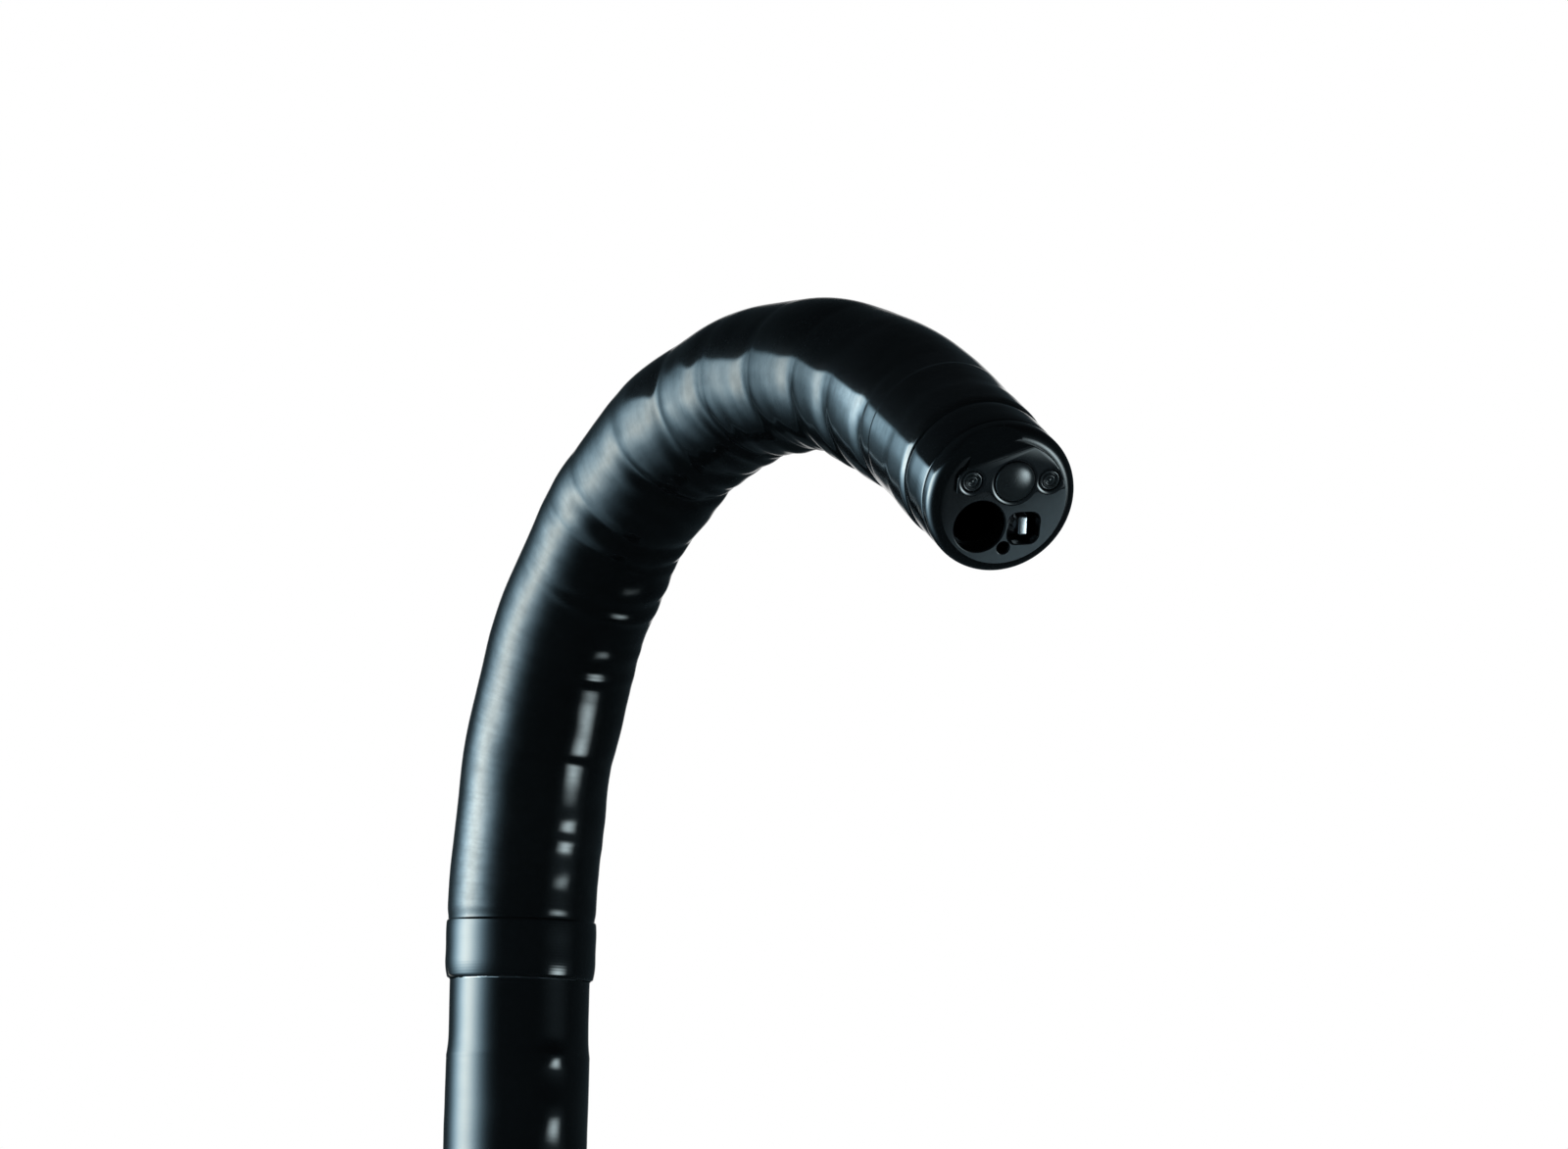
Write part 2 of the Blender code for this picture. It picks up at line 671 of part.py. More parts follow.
def junction(materials):
    sleeve_rear = TUBE_FRONT - FERRULE_SLEEVE_OVERLAP
    mesh = eared_ring_mesh("junction_ferrule", FIRST_HINGE - sleeve_rear, False, "Y")
    place_ring("junction_ferrule", mesh, Matrix.Translation((0, 0, sleeve_rear)), materials["steel"])

    bore = COVER_BORE_RADIUS + COVER_PINCHED_WALL + FACE_GAP
    bevel = BAND_BEVEL
    middle = (TUBE_FRONT + BAND_FRONT) / 2
    outer = [
        (TUBE_FRONT + END_GAP, BAND_RADIUS - bevel),
        (TUBE_FRONT + bevel, BAND_RADIUS),
        (middle, BAND_RADIUS - BAND_GROOVE_DEPTH),
        (BAND_FRONT - bevel, BAND_RADIUS),
        (BAND_FRONT, BAND_RADIUS - bevel),
    ]
    inner = [(TUBE_FRONT + END_GAP, bore), (BAND_FRONT, bore)]
    hollow("junction_band", outer, inner, SKIN_SIDES, materials["binding"])


def links(materials):
    mesh = eared_ring_mesh("link", LINK_PITCH, True, "X")
    quarter_turn = Matrix.Rotation(math.pi / 2, 4, "Z")
    for index in range(HINGE_COUNT - 1):
        frame = FRAMES[index] if index % 2 == 0 else FRAMES[index] @ quarter_turn
        place_ring(f"link_{index + 1:02d}", mesh, frame, materials["steel"])


def section_skins(materials):
    rear = TUBE_FRONT + COVER_HEM
    front = FACE - CAP_DISC_LENGTH - TIP_BAND_LENGTH
    braid_rear, braid_front = BAND_FRONT + SECTION_BRAID_REAR, LAST_HINGE + SECTION_BRAID_REACH
    outer = run(braid_rear, braid_front, SECTION_BRAID_BORE_RADIUS + SECTION_BRAID_WALL)
    inner = run(braid_rear, braid_front, SECTION_BRAID_BORE_RADIUS)
    hollow("bending_section_braid", outer, inner, LINK_FACETS, materials["steel"])

    pinched = COVER_BORE_RADIUS + COVER_PINCHED_WALL
    swell = (BAND_FRONT + END_GAP, COVER_RADIUS - END_GAP)
    outer = [(rear, pinched), (BAND_FRONT, pinched), swell]
    for hinge in HINGES:
        outer.append((hinge, COVER_RADIUS))
        if hinge < LAST_HINGE:
            outer.append((hinge + LINK_PITCH / 2, COVER_RADIUS + COVER_BULGE))
    outer += [(LAST_HINGE + LINK_PITCH / 2, COVER_RADIUS + COVER_BULGE / 2)]
    outer += [(front - COVER_HEM, COVER_RADIUS), (front, COVER_RADIUS - COVER_HEM_DROP)]
    inner = run(rear, front, COVER_BORE_RADIUS)
    hollow("bending_section_cover", outer, inner, SKIN_SIDES, materials["rubber"])


def wires(materials):
    places = {"up": (0, 1), "down": (0, -1), "left": (-1, 0), "right": (1, 0)}
    front = LAST_HINGE + TIP_BODY_REAR + WIRE_SOCKET_DEPTH
    pipe_front = TUBE_FRONT + COIL_PIPE_REACH
    for side, (right, up) in places.items():
        at = (right * WIRE_RING_RADIUS, up * WIRE_RING_RADIUS)
        centre = fixed_at(at)
        line = run(LINE_REAR, front - 2 * END_GAP, WIRE_RADIUS)
        solid(f"{side}_wire", line, WIRE_SIDES, materials["steel"], centre)
        wall = [(LINE_REAR, COIL_PIPE_RADIUS), (pipe_front, COIL_PIPE_RADIUS)]
        bore = [(LINE_REAR, COIL_PIPE_BORE_RADIUS), (pipe_front, COIL_PIPE_BORE_RADIUS)]
        hollow(f"{side}_coil_pipe", wall, bore, ROD_SIDES, materials["steel"], centre)


def inner_lines(materials):
    rear = LINE_REAR
    front = LAST_HINGE + TIP_BODY_REAR + TUBE_SOCKET_DEPTH - END_GAP
    white = materials["channel"]
    wall, bore = run(rear, front, CHANNEL_RADIUS), run(rear, front, CHANNEL_BORE_RADIUS)
    hollow("instrument_channel_tube", wall, bore, CHANNEL_SIDES, white, fixed_at(CHANNEL_AT))
    tubes = (
        ("air_tube", AIR_AT, FLUID_TUBE_RADIUS, FLUID_BORE_RADIUS),
        ("water_tube", WATER_AT, FLUID_TUBE_RADIUS, FLUID_BORE_RADIUS),
        ("water_jet_tube", JET_AT, JET_RADIUS, JET_BORE_RADIUS),
    )
    for name, at, radius, hole in tubes:
        wall, bore = slack_run(rear, front, radius), slack_run(rear, front, hole)
        hollow(name, wall, bore, FINE_SIDES, white, fixed_at(at))
    guide_front = FACE - LIGHT_LENS_LENGTH - END_GAP
    rods = (
        ("light_guide_left", LEFT_LIGHT_AT, LIGHT_GUIDE_RADIUS, guide_front),
        ("light_guide_right", RIGHT_LIGHT_AT, LIGHT_GUIDE_RADIUS, guide_front),
        ("camera_cable", LENS_AT, CABLE_RADIUS, front),
    )
    for name, at, radius, end in rods:
        line = slack_run(rear, end, radius)
        solid(name, line, FINE_SIDES, materials["fibre"], fixed_at(at))


def tip_ring(materials):
    mesh = ring_mesh("tip_ring", TIP_RING_LENGTH, True, None)
    frame = FRAMES[-1] @ Matrix.Rotation(math.pi / 2, 4, "Z")
    return place_ring("tip_ring", mesh, frame, materials["steel"])


def tip_body(materials):
    rear, shoulder = LAST_HINGE + TIP_BODY_REAR, LAST_HINGE + TIP_BODY_SHOULDER
    front = FACE - TIP_BODY_FRONT_GAP - TIP_BODY_FRONT_CLEARANCE
    spigot = LINK_FLAT - LINK_WALL - SEAT_CLEARANCE
    skirt_rear = FACE - CAP_DISC_LENGTH - CAP_SKIRT_LENGTH
    core = TIP_BODY_RADIUS - CAP_SKIRT_WALL - SEAT_CLEARANCE
    profile = [
        (rear, spigot),
        (shoulder, spigot),
        (shoulder, TIP_BODY_RADIUS),
        (skirt_rear - SEAT_CLEARANCE, TIP_BODY_RADIUS),
        (skirt_rear - SEAT_CLEARANCE, core),
        (front, core),
    ]
    body = solid("tip_body", profile, TURNED_SIDES, materials["steel"])
    back, ahead, socket = rear - CUT_BEYOND, front + CUT_BEYOND, rear + TUBE_SOCKET_DEPTH
    meet = front - NOZZLE_LENGTH
    sleeve = SLEEVE_RADIUS + SEAT_CLEARANCE
    pipe = JET_PIPE_RADIUS + SEAT_CLEARANCE

    def straight(name, at, radius, start, end, sides):
        wide = radius + SEAT_CLEARANCE
        return cutter_rod(name, [(start, wide), (end, wide)], sides, fixed_at(at))

    def slant(name, at_rear, at_front, radius, end, sides):
        route = slanting(at_rear, at_front, socket, end)
        return cutter_rod(name, [(socket - END_GAP, radius), (end, radius)], sides, route)

    cutters = [
        straight("cable_bore", LENS_AT, CABLE_RADIUS, back, socket + END_GAP, FINE_SIDES),
        straight("camera_bore", LENS_AT, BARREL_RADIUS, socket, ahead, CHANNEL_SIDES),
        straight("left_light_bore", LEFT_LIGHT_AT, LIGHT_GUIDE_RADIUS, back, ahead, FINE_SIDES),
        straight("right_light_bore", RIGHT_LIGHT_AT, LIGHT_GUIDE_RADIUS, back, ahead, FINE_SIDES),
        straight("channel_bore", CHANNEL_AT, CHANNEL_RADIUS, back, socket, CHANNEL_SIDES),
        slant("sleeve_bore", CHANNEL_AT, CHANNEL_MOUTH_AT, sleeve, ahead, CHANNEL_SIDES),
        straight("air_bore", AIR_AT, FLUID_TUBE_RADIUS, back, socket, FINE_SIDES),
        straight("water_bore", WATER_AT, FLUID_TUBE_RADIUS, back, socket, FINE_SIDES),
        slant("air_passage", AIR_AT, NOZZLE_AT, PASSAGE_RADIUS, meet, FINE_SIDES),
        slant("water_passage", WATER_AT, NOZZLE_AT, PASSAGE_RADIUS, meet, FINE_SIDES),
        straight("nozzle_bore", NOZZLE_AT, NOZZLE_RADIUS, meet - NOZZLE_SEAT, ahead, CHANNEL_SIDES),
        straight("jet_bore", JET_AT, JET_RADIUS, back, socket, FINE_SIDES),
        slant("jet_pipe_bore", JET_AT, JET_MOUTH_AT, pipe, ahead, FINE_SIDES),
    ]
    for name, at in (("up", (0, 1)), ("down", (0, -1)), ("left", (-1, 0)), ("right", (1, 0))):
        place = (at[0] * WIRE_RING_RADIUS, at[1] * WIRE_RING_RADIUS)
        end = rear + WIRE_SOCKET_DEPTH
        cutters.append(straight(f"{name}_wire_bore", place, WIRE_RADIUS, back, end, WIRE_SIDES))
    cut(body, cutters)
    return body


def lower_edge(across):
    # The platform's scalloped edge: it hugs each lens and runs straight between them.
    height = PLATFORM_EDGE
    for at, radius in (
        (LEFT_LIGHT_AT, LIGHT_LENS_RADIUS),
        (LENS_AT, LENS_RADIUS),
        (RIGHT_LIGHT_AT, LIGHT_LENS_RADIUS),
    ):
        reach = radius + PLATFORM_LIP
        if abs(across - at[0]) < reach:
            height = min(height, at[1] - math.sqrt(reach**2 - (across - at[0]) ** 2))
    return height


def platform_mesh(name):
    # The raised platform of the lens and lights, from its scalloped edge up to the chamfer.
    edge = TIP_RADIUS - TIP_RIM_BLEND - PLATFORM_INSET
    left = LEFT_LIGHT_AT[0] - LIGHT_LENS_RADIUS - PLATFORM_LIP + PLATFORM_SIDE_GAP
    right = math.sqrt(edge**2 - PLATFORM_EDGE**2) - PLATFORM_SIDE_GAP
    steps = 22
    outline = []
    for k in range(steps + 1):
        across = left + (right - left) * k / steps
        outline.append((across, lower_edge(across)))
    start = math.atan2(outline[-1][1], outline[-1][0])
    end = math.atan2(LEFT_LIGHT_AT[1] + PLATFORM_CORNER, left)
    for k in range(1, 10):
        angle = start + (end - start) * k / 9
        outline.append((edge * math.cos(angle), edge * math.sin(angle)))
    outline.append((left, LEFT_LIGHT_AT[1]))
    bm = bmesh.new()
    foot = FACE - PLATFORM_HEIGHT - PLATFORM_FOOT
    section_low, section_high = section_at(foot), section_at(FACE)
    low = [bm.verts.new(section_low @ offset(p)) for p in outline]
    high = [bm.verts.new(section_high @ offset(p)) for p in outline]
    bm.faces.new(low)
    bm.faces.new(high)
    bridge(bm, low, high)
    return mesh_from(bm, name)


def chamfer_cutter(name):
    # A block whose lower side slopes back from the chord above the lens.
    bm = bmesh.new()
    bmesh.ops.create_cube(bm, size=1)
    size = CHAMFER_BLOCK
    bmesh.ops.scale(bm, vec=(size, size, size), verts=bm.verts)
    bmesh.ops.translate(bm, vec=(-size / 2, 0, size / 2), verts=bm.verts)
    slope = Matrix.Rotation(-CHORD_SLOPE, 4, "Y")
    across = Matrix.Translation((-CHORD_DISTANCE, 0, 0))
    tilt = Matrix.Rotation(-CHORD_TILT, 4, "Z")
    bm.transform(section_at(FACE) @ tilt @ across @ slope)
    mesh = mesh_from(bm, name)
    cutter = bpy.data.objects.new(name, mesh)
    bpy.context.scene.collection.objects.link(cutter)
    return cutter


def recess_cutter(name):
    # A rounded square through the cap's disc, round the air and water nozzle.
    flat = NOZZLE_RECESS_HALF - NOZZLE_RECESS_CORNER
    outline = []
    for k in range(4):
        for step in (0, 1, 2, 3):
            angle = math.radians(90 * k + 30 * step)
            middle = math.radians(90 * k + 45)
            across = math.copysign(flat, math.cos(middle)) + NOZZLE_RECESS_CORNER * math.cos(angle)
            height = math.copysign(flat, math.sin(middle)) + NOZZLE_RECESS_CORNER * math.sin(angle)
            outline.append((NOZZLE_AT[0] + across, NOZZLE_AT[1] + height))
    bm = bmesh.new()
    back, ahead = section_at(FACE - CAP_DISC_LENGTH - CUT_BEYOND), section_at(FACE + CUT_BEYOND)
    low = [bm.verts.new(back @ offset(p)) for p in outline]
    high = [bm.verts.new(ahead @ offset(p)) for p in outline]
    bm.faces.new(low)
    bm.faces.new(high)
    bridge(bm, low, high)
    cutter = bpy.data.objects.new(name, mesh_from(bm, name))
    bpy.context.scene.collection.objects.link(cutter)
    return cutter


def tip_cap(materials):
    disc_rear, skirt_rear = FACE - CAP_DISC_LENGTH, FACE - CAP_DISC_LENGTH - CAP_SKIRT_LENGTH
    floor, low_face = FACE - TIP_BODY_FRONT_GAP, FACE - PLATFORM_HEIGHT
    bore = TIP_BODY_RADIUS - CAP_SKIRT_WALL
    profile = [
        (floor, bore),
        (skirt_rear, bore),
        (skirt_rear, TIP_BODY_RADIUS),
        (disc_rear, TIP_BODY_RADIUS),
        (disc_rear, TIP_RADIUS - CAP_BEVEL),
        (disc_rear + CAP_BEVEL, TIP_RADIUS),
    ]
    for degrees in (0, 30, 60, 90):
        angle = math.radians(degrees)
        reach = TIP_RADIUS - TIP_RIM_BLEND * (1 - math.cos(angle))
        profile.append((low_face - TIP_RIM_BLEND * (1 - math.sin(angle)), reach))
    disc = solid_mesh("cap_disc", profile, TURNED_SIDES)
    mesh = union_mesh("tip_cap", disc, [platform_mesh("platform")], [])
    cap = add_object("tip_cap", mesh, materials["cap"])

    def hole(name, at, radius, sides):
        reach = [(disc_rear - CUT_BEYOND, radius), (FACE + CUT_BEYOND, radius)]
        return cutter_rod(name, reach, sides, fixed_at(at))

    light = LIGHT_LENS_RADIUS + 2 * SEAT_CLEARANCE
    cut(cap, [
        hole("lens_hole", LENS_AT, LENS_RADIUS + SEAT_CLEARANCE, LENS_SIDES),
        hole("left_light_hole", LEFT_LIGHT_AT, light, CHANNEL_SIDES),
        hole("right_light_hole", RIGHT_LIGHT_AT, light, CHANNEL_SIDES),
        hole("channel_hole", CHANNEL_MOUTH_AT, CHANNEL_BORE_RADIUS, LENS_SIDES),
        hole("jet_hole", JET_MOUTH_AT, JET_MOUTH_RADIUS, ROD_SIDES),
        recess_cutter("nozzle_recess"),
        chamfer_cutter("chord_chamfer"),
    ])
    return cap


def tip_band(materials):
    rear = FACE - CAP_DISC_LENGTH - TIP_BAND_LENGTH + FACE_GAP
    front = FACE - CAP_DISC_LENGTH - FACE_GAP
    bore = TIP_BODY_RADIUS + SEAT_CLEARANCE
    bevel = TIP_BAND_BEVEL
    outer = [
        (rear, TIP_RADIUS - bevel),
        (rear + bevel, TIP_RADIUS),
        (front - bevel, TIP_RADIUS),
        (front, TIP_RADIUS - bevel),
    ]
    inner = [(rear, bore), (front, bore)]
    return hollow("tip_band", outer, inner, TURNED_SIDES, materials["binding"])


def camera(materials):
    seat = FACE - LENS_SEAT
    centre = fixed_at(LENS_AT)
    dome = [(seat, LENS_RADIUS), (FACE, LENS_RADIUS)]
    for angle in (30, 55, 75):
        a = math.radians(angle)
        dome.append((FACE + LENS_DOME * math.sin(a), LENS_RADIUS * math.cos(a)))
    lens = solid("objective_lens", dome, LENS_SIDES, materials["glass"], centre)
    barrel_rear = seat - FACE_GAP - BARREL_LENGTH
    wall = [(barrel_rear, BARREL_RADIUS), (seat - FACE_GAP, BARREL_RADIUS)]
    bore = [(barrel_rear, BARREL_BORE_RADIUS), (seat - FACE_GAP, BARREL_BORE_RADIUS)]
    barrel = hollow("lens_barrel", wall, bore, CHANNEL_SIDES, materials["steel"], centre)
    sensor_rear = LAST_HINGE + TIP_BODY_REAR + TUBE_SOCKET_DEPTH + END_GAP
    block = [(sensor_rear, SENSOR_RADIUS), (barrel_rear - END_GAP, SENSOR_RADIUS)]
    sensor = solid("image_sensor", block, 4, materials["fibre"], centre)
    return [lens, barrel, sensor]


def lights(materials):
    front = FACE - LIGHT_RECESS
    rear = front - LIGHT_LENS_LENGTH
    radius = LIGHT_LENS_RADIUS
    pieces = []
    for side, at in (("left", LEFT_LIGHT_AT), ("right", RIGHT_LIGHT_AT)):
        steps = [
            (rear, radius),
            (front, radius),
            (front, radius * 0.72),
            (front - LIGHT_RING_DEPTH, radius * 0.66),
            (front - LIGHT_RING_DEPTH, radius * 0.40),
            (front, radius * 0.25),
        ]
        lens = solid(f"light_lens_{side}", steps, CHANNEL_SIDES, materials["glass"], fixed_at(at))
        pieces.append(lens)
    return pieces


def fluids(materials):
    meet = FACE - TIP_BODY_FRONT_GAP - TIP_BODY_FRONT_CLEARANCE - NOZZLE_LENGTH
    floor = FACE - TIP_BODY_FRONT_GAP
    profile = [
        (meet, NOZZLE_RADIUS),
        (floor, NOZZLE_RADIUS),
        (floor, NOZZLE_SPOUT_RADIUS),
        (FACE - PLATFORM_HEIGHT - NOZZLE_SPOUT_CHAMFER, NOZZLE_SPOUT_RADIUS),
        (FACE - PLATFORM_HEIGHT, NOZZLE_SPOUT_RADIUS * 0.7),
    ]
    nozzle = solid("air_water_nozzle", profile, CHANNEL_SIDES, materials["steel"], fixed_at(NOZZLE_AT))
    roof = FACE - PLATFORM_HEIGHT - NOZZLE_ROOF
    reach = [(meet - CUT_BEYOND, NOZZLE_BORE_RADIUS), (roof, NOZZLE_BORE_RADIUS)]
    bore = cutter_rod("nozzle_hole", reach, FINE_SIDES, fixed_at(NOZZLE_AT))
    outlet_at = (NOZZLE_AT[0], NOZZLE_AT[1] + OUTLET_OFFSET)
    under = roof - SEAT_CLEARANCE
    reach = [(under - OUTLET_RISE, OUTLET_RADIUS), (under, OUTLET_RADIUS)]
    slot = cutter_rod("outlet", reach, WIRE_SIDES, fixed_at(outlet_at))
    cut(nozzle, [bore, slot])

    start = LAST_HINGE + TIP_BODY_REAR + TUBE_SOCKET_DEPTH
    end = FACE - TIP_BODY_FRONT_GAP - END_GAP
    far = FACE - TIP_BODY_FRONT_GAP - TIP_BODY_FRONT_CLEARANCE + CUT_BEYOND
    route = slanting(CHANNEL_AT, CHANNEL_MOUTH_AT, start, far)
    wall = [(start, SLEEVE_RADIUS), (end, SLEEVE_RADIUS)]
    bore = [(start, CHANNEL_BORE_RADIUS), (end, CHANNEL_BORE_RADIUS)]
    sleeve = hollow("channel_sleeve", wall, bore, CHANNEL_SIDES, materials["steel"], route)
    route = slanting(JET_AT, JET_MOUTH_AT, start, far)
    wall = [(start, JET_PIPE_RADIUS), (end, JET_PIPE_RADIUS)]
    bore = [(start, JET_PIPE_BORE_RADIUS), (end, JET_PIPE_BORE_RADIUS)]
    pipe = hollow("water_jet_pipe", wall, bore, FINE_SIDES, materials["steel"], route)
    return [nozzle, sleeve, pipe]


def carry(name, frame, pieces):
    # An empty on the last hinge carries the pieces of the tip, which stay where they are.
    empty = bpy.data.objects.new(name, None)
    bpy.context.scene.collection.objects.link(empty)
    empty.matrix_world = frame
    for piece in pieces:
        world = piece.matrix_world.copy()
        piece.parent = empty
        piece.matrix_parent_inverse = frame.inverted()
        piece.matrix_basis = world


def main():
    clear_scene()
    materials = {
        "steel": make_material("steel", (0.55, 0.56, 0.57), 0.35, 1.0),
        "jacket": make_material("jacket", (0.010, 0.011, 0.013), 0.22, 0.0),
        "binding": make_material("binding", (0.008, 0.009, 0.010), 0.15, 0.0),
        "rubber": make_material("rubber", (0.009, 0.010, 0.012), 0.28, 0.0),
        "channel": make_material("channel", (0.85, 0.84, 0.80), 0.4, 0.0),
        "fibre": make_material("fibre", (0.06, 0.06, 0.065), 0.5, 0.0),
        "cap": make_material("cap", (0.010, 0.011, 0.013), 0.12, 0.0),
        "glass": make_material("glass", (0.05, 0.06, 0.07), 0.03, 0.0),
    }
    insertion_tube(materials)
    junction(materials)
    links(materials)
    section_skins(materials)
    wires(materials)
    inner_lines(materials)
    pieces = [tip_ring(materials), tip_body(materials), tip_cap(materials), tip_band(materials)]
    pieces += camera(materials) + lights(materials) + fluids(materials)
    carry("tip_frame", FRAMES[-1], pieces)


main()
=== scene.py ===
import json
import math

import bmesh
import bpy
from mathutils import Matrix, Quaternion, Vector, noise


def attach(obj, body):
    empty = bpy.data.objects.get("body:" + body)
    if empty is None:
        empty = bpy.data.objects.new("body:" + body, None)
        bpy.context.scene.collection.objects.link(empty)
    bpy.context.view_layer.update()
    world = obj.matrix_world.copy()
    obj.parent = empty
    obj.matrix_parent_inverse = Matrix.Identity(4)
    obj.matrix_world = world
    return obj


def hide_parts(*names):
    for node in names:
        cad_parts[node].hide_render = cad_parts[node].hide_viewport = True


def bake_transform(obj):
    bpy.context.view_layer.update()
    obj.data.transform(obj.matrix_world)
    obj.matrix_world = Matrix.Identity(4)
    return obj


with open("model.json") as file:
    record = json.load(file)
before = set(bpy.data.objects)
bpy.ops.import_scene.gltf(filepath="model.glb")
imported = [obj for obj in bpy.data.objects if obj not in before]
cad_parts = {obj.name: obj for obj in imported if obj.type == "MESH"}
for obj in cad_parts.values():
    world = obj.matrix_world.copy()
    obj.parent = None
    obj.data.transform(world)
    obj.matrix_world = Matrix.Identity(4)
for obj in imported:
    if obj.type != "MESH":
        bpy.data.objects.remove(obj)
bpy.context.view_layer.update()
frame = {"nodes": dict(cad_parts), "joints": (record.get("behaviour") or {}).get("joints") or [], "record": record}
nodes = frame["nodes"]
joints = frame["joints"]
mm = 0.001


# The centre line, from the joints of the frame

line = {
    "linkPitch": 5.0 * mm,
    "lastTurn": 6.2,          # degrees that the tip is turned on the last link at rest
    "face": 121.75 * mm,      # from the rear ferrule to the end of the tip
    "firstHinge": 31.0 * mm,
    "bandFront": 28.5 * mm,
    "blendReach": 1.6 * mm,   # on each side of a hinge
}


def linkTurns():
    # The turn of each body of the chain: its X is the axis of the left hinge beside it and
    # its Y the axis of the down hinge beside it.
    axes = [Vector(joint["axis"]) for joint in joints]
    turns = [Quaternion()]
    for k in range(1, len(joints)):
        across = axes[k] if k % 2 else axes[k - 1]
        down = axes[k - 1] if k % 2 else axes[k]
        along = across.cross(down)
        turns.append(Matrix((across, down, along)).transposed().to_quaternion())
    last = Quaternion(axes[-1], math.radians(line["lastTurn"]))
    turns.append(last @ turns[-1])
    return turns


hinges = [Vector(joint["pos_m"]) for joint in joints]
turns = linkTurns()
halfLink = line["linkPitch"] / 2
firstMiddle = line["firstHinge"] - halfLink


def middle(k):
    # The middle of body k, between its two hinges.
    if k == 0:
        return hinges[0] - Vector((0, 0, halfLink))
    return hinges[k - 1] + turns[k] @ Vector((0, 0, halfLink))


def station(distance):
    # The matrix of the cross-section at this distance along the centre line.
    share = (distance - firstMiddle) / line["linkPitch"]
    if share <= 0:
        return Matrix.Translation((0, 0, distance))
    k = int(share)
    if k >= len(hinges):
        beyond = (share - len(hinges)) * line["linkPitch"]
        place = middle(len(hinges)) + turns[-1] @ Vector((0, 0, beyond))
        return Matrix.Translation(place) @ turns[-1].to_matrix().to_4x4()
    t = share - k
    place = middle(k).lerp(hinges[k], t).lerp(hinges[k].lerp(middle(k + 1), t), t)
    turn = turns[k].slerp(turns[k + 1], t)
    return Matrix.Translation(place) @ turn.to_matrix().to_4x4()


# Shader maths

class Wire:
    # An output of a node that takes part in sums.
    def __init__(self, tree, socket):
        self.tree = tree
        self.socket = socket

    def sum(self, operation, first, second):
        settings = {"operation": operation}
        return addNode(self.tree, "ShaderNodeMath", settings, {0: first, 1: second})

    def __add__(self, other):
        return self.sum("ADD", self, other)

    def __radd__(self, other):
        return self.sum("ADD", other, self)

    def __sub__(self, other):
        return self.sum("SUBTRACT", self, other)

    def __rsub__(self, other):
        return self.sum("SUBTRACT", other, self)

    def __mul__(self, other):
        return self.sum("MULTIPLY", self, other)

    def __rmul__(self, other):
        return self.sum("MULTIPLY", other, self)

    def __truediv__(self, other):
        return self.sum("DIVIDE", self, other)

    def __rtruediv__(self, other):
        return self.sum("DIVIDE", other, self)

    def __pow__(self, other):
        return self.sum("POWER", self, other)

    def __rpow__(self, other):
        return self.sum("POWER", other, self)


def addNode(tree, kind, settings={}, values={}, output=0):
    made = tree.nodes.new(kind)
    for name, value in settings.items():
        if name == "stops":
            fillRamp(made.color_ramp, value)
        else:
            setattr(made, name, value)
    for key, value in values.items():
        if isinstance(value, Wire):
            tree.links.new(value.socket, made.inputs[key])
        else:
            made.inputs[key].default_value = value
    return None if output is None else Wire(tree, made.outputs[output])


def fillRamp(ramp, stops):
    while len(ramp.elements) < len(stops):
        ramp.elements.new(1.0)
    for element, (place, colour) in zip(ramp.elements, stops):
        element.position = place
        element.color = (*colour, 1) if isinstance(colour, tuple) else (colour, colour, colour, 1)


def newMaterial(name, constants):
    material = bpy.data.materials.new(name)
    material.use_nodes = True
    tree = material.node_tree
    shader = tree.nodes["Principled BSDF"]
    for key, value in constants.items():
        shader.inputs[key].default_value = value
    return material, tree, shader


def feed(tree, shader, **links):
    for name, wire in links.items():
        tree.links.new(wire.socket, shader.inputs[name.replace("_", " ")])


def mixColour(tree, share, first, second):
    # Mixes two colours, either of which may be a wire.
    values = {0: share}
    for key, colour in ((6, first), (7, second)):
        values[key] = colour if isinstance(colour, Wire) else (*colour, 1)
    return addNode(tree, "ShaderNodeMix", {"data_type": "RGBA"}, values, 2)


def scaledPlace(tree, scale=(1000, 1000, 1000)):
    # Object coordinates in units of 1/scale metres, which are millimetres as a rule.
    place = addNode(tree, "ShaderNodeTexCoord", output="Object")
    return addNode(tree, "ShaderNodeMapping", {}, {"Vector": place, "Scale": scale})


def cloud(tree, place, scale, detail=3.0, roughness=0.55):
    values = {"Vector": place, "Scale": scale, "Detail": detail, "Roughness": roughness}
    return addNode(tree, "ShaderNodeTexNoise", {}, values)


def bumped(tree, shader, height, distance, strength):
    values = {"Height": height, "Distance": distance, "Strength": strength}
    made = addNode(tree, "ShaderNodeBump", {}, values)
    feed(tree, shader, Normal=made)


rubberFinish = {
    "base": (0.0010, 0.0013, 0.0015),
    "dusty": (0.0019, 0.0023, 0.0026),
    "smooth": 0.22,
    # how much of the lacquer is left, by the place along the cover from its rear to its front
    "lacquer": [(0.0, 0.82), (0.08, 0.90), (0.18, 0.72), (0.30, 0.62), (0.46, 0.55), (0.60, 0.46),
                (0.72, 0.40), (0.79, 0.48), (0.86, 0.90), (1.0, 1.0)],
}


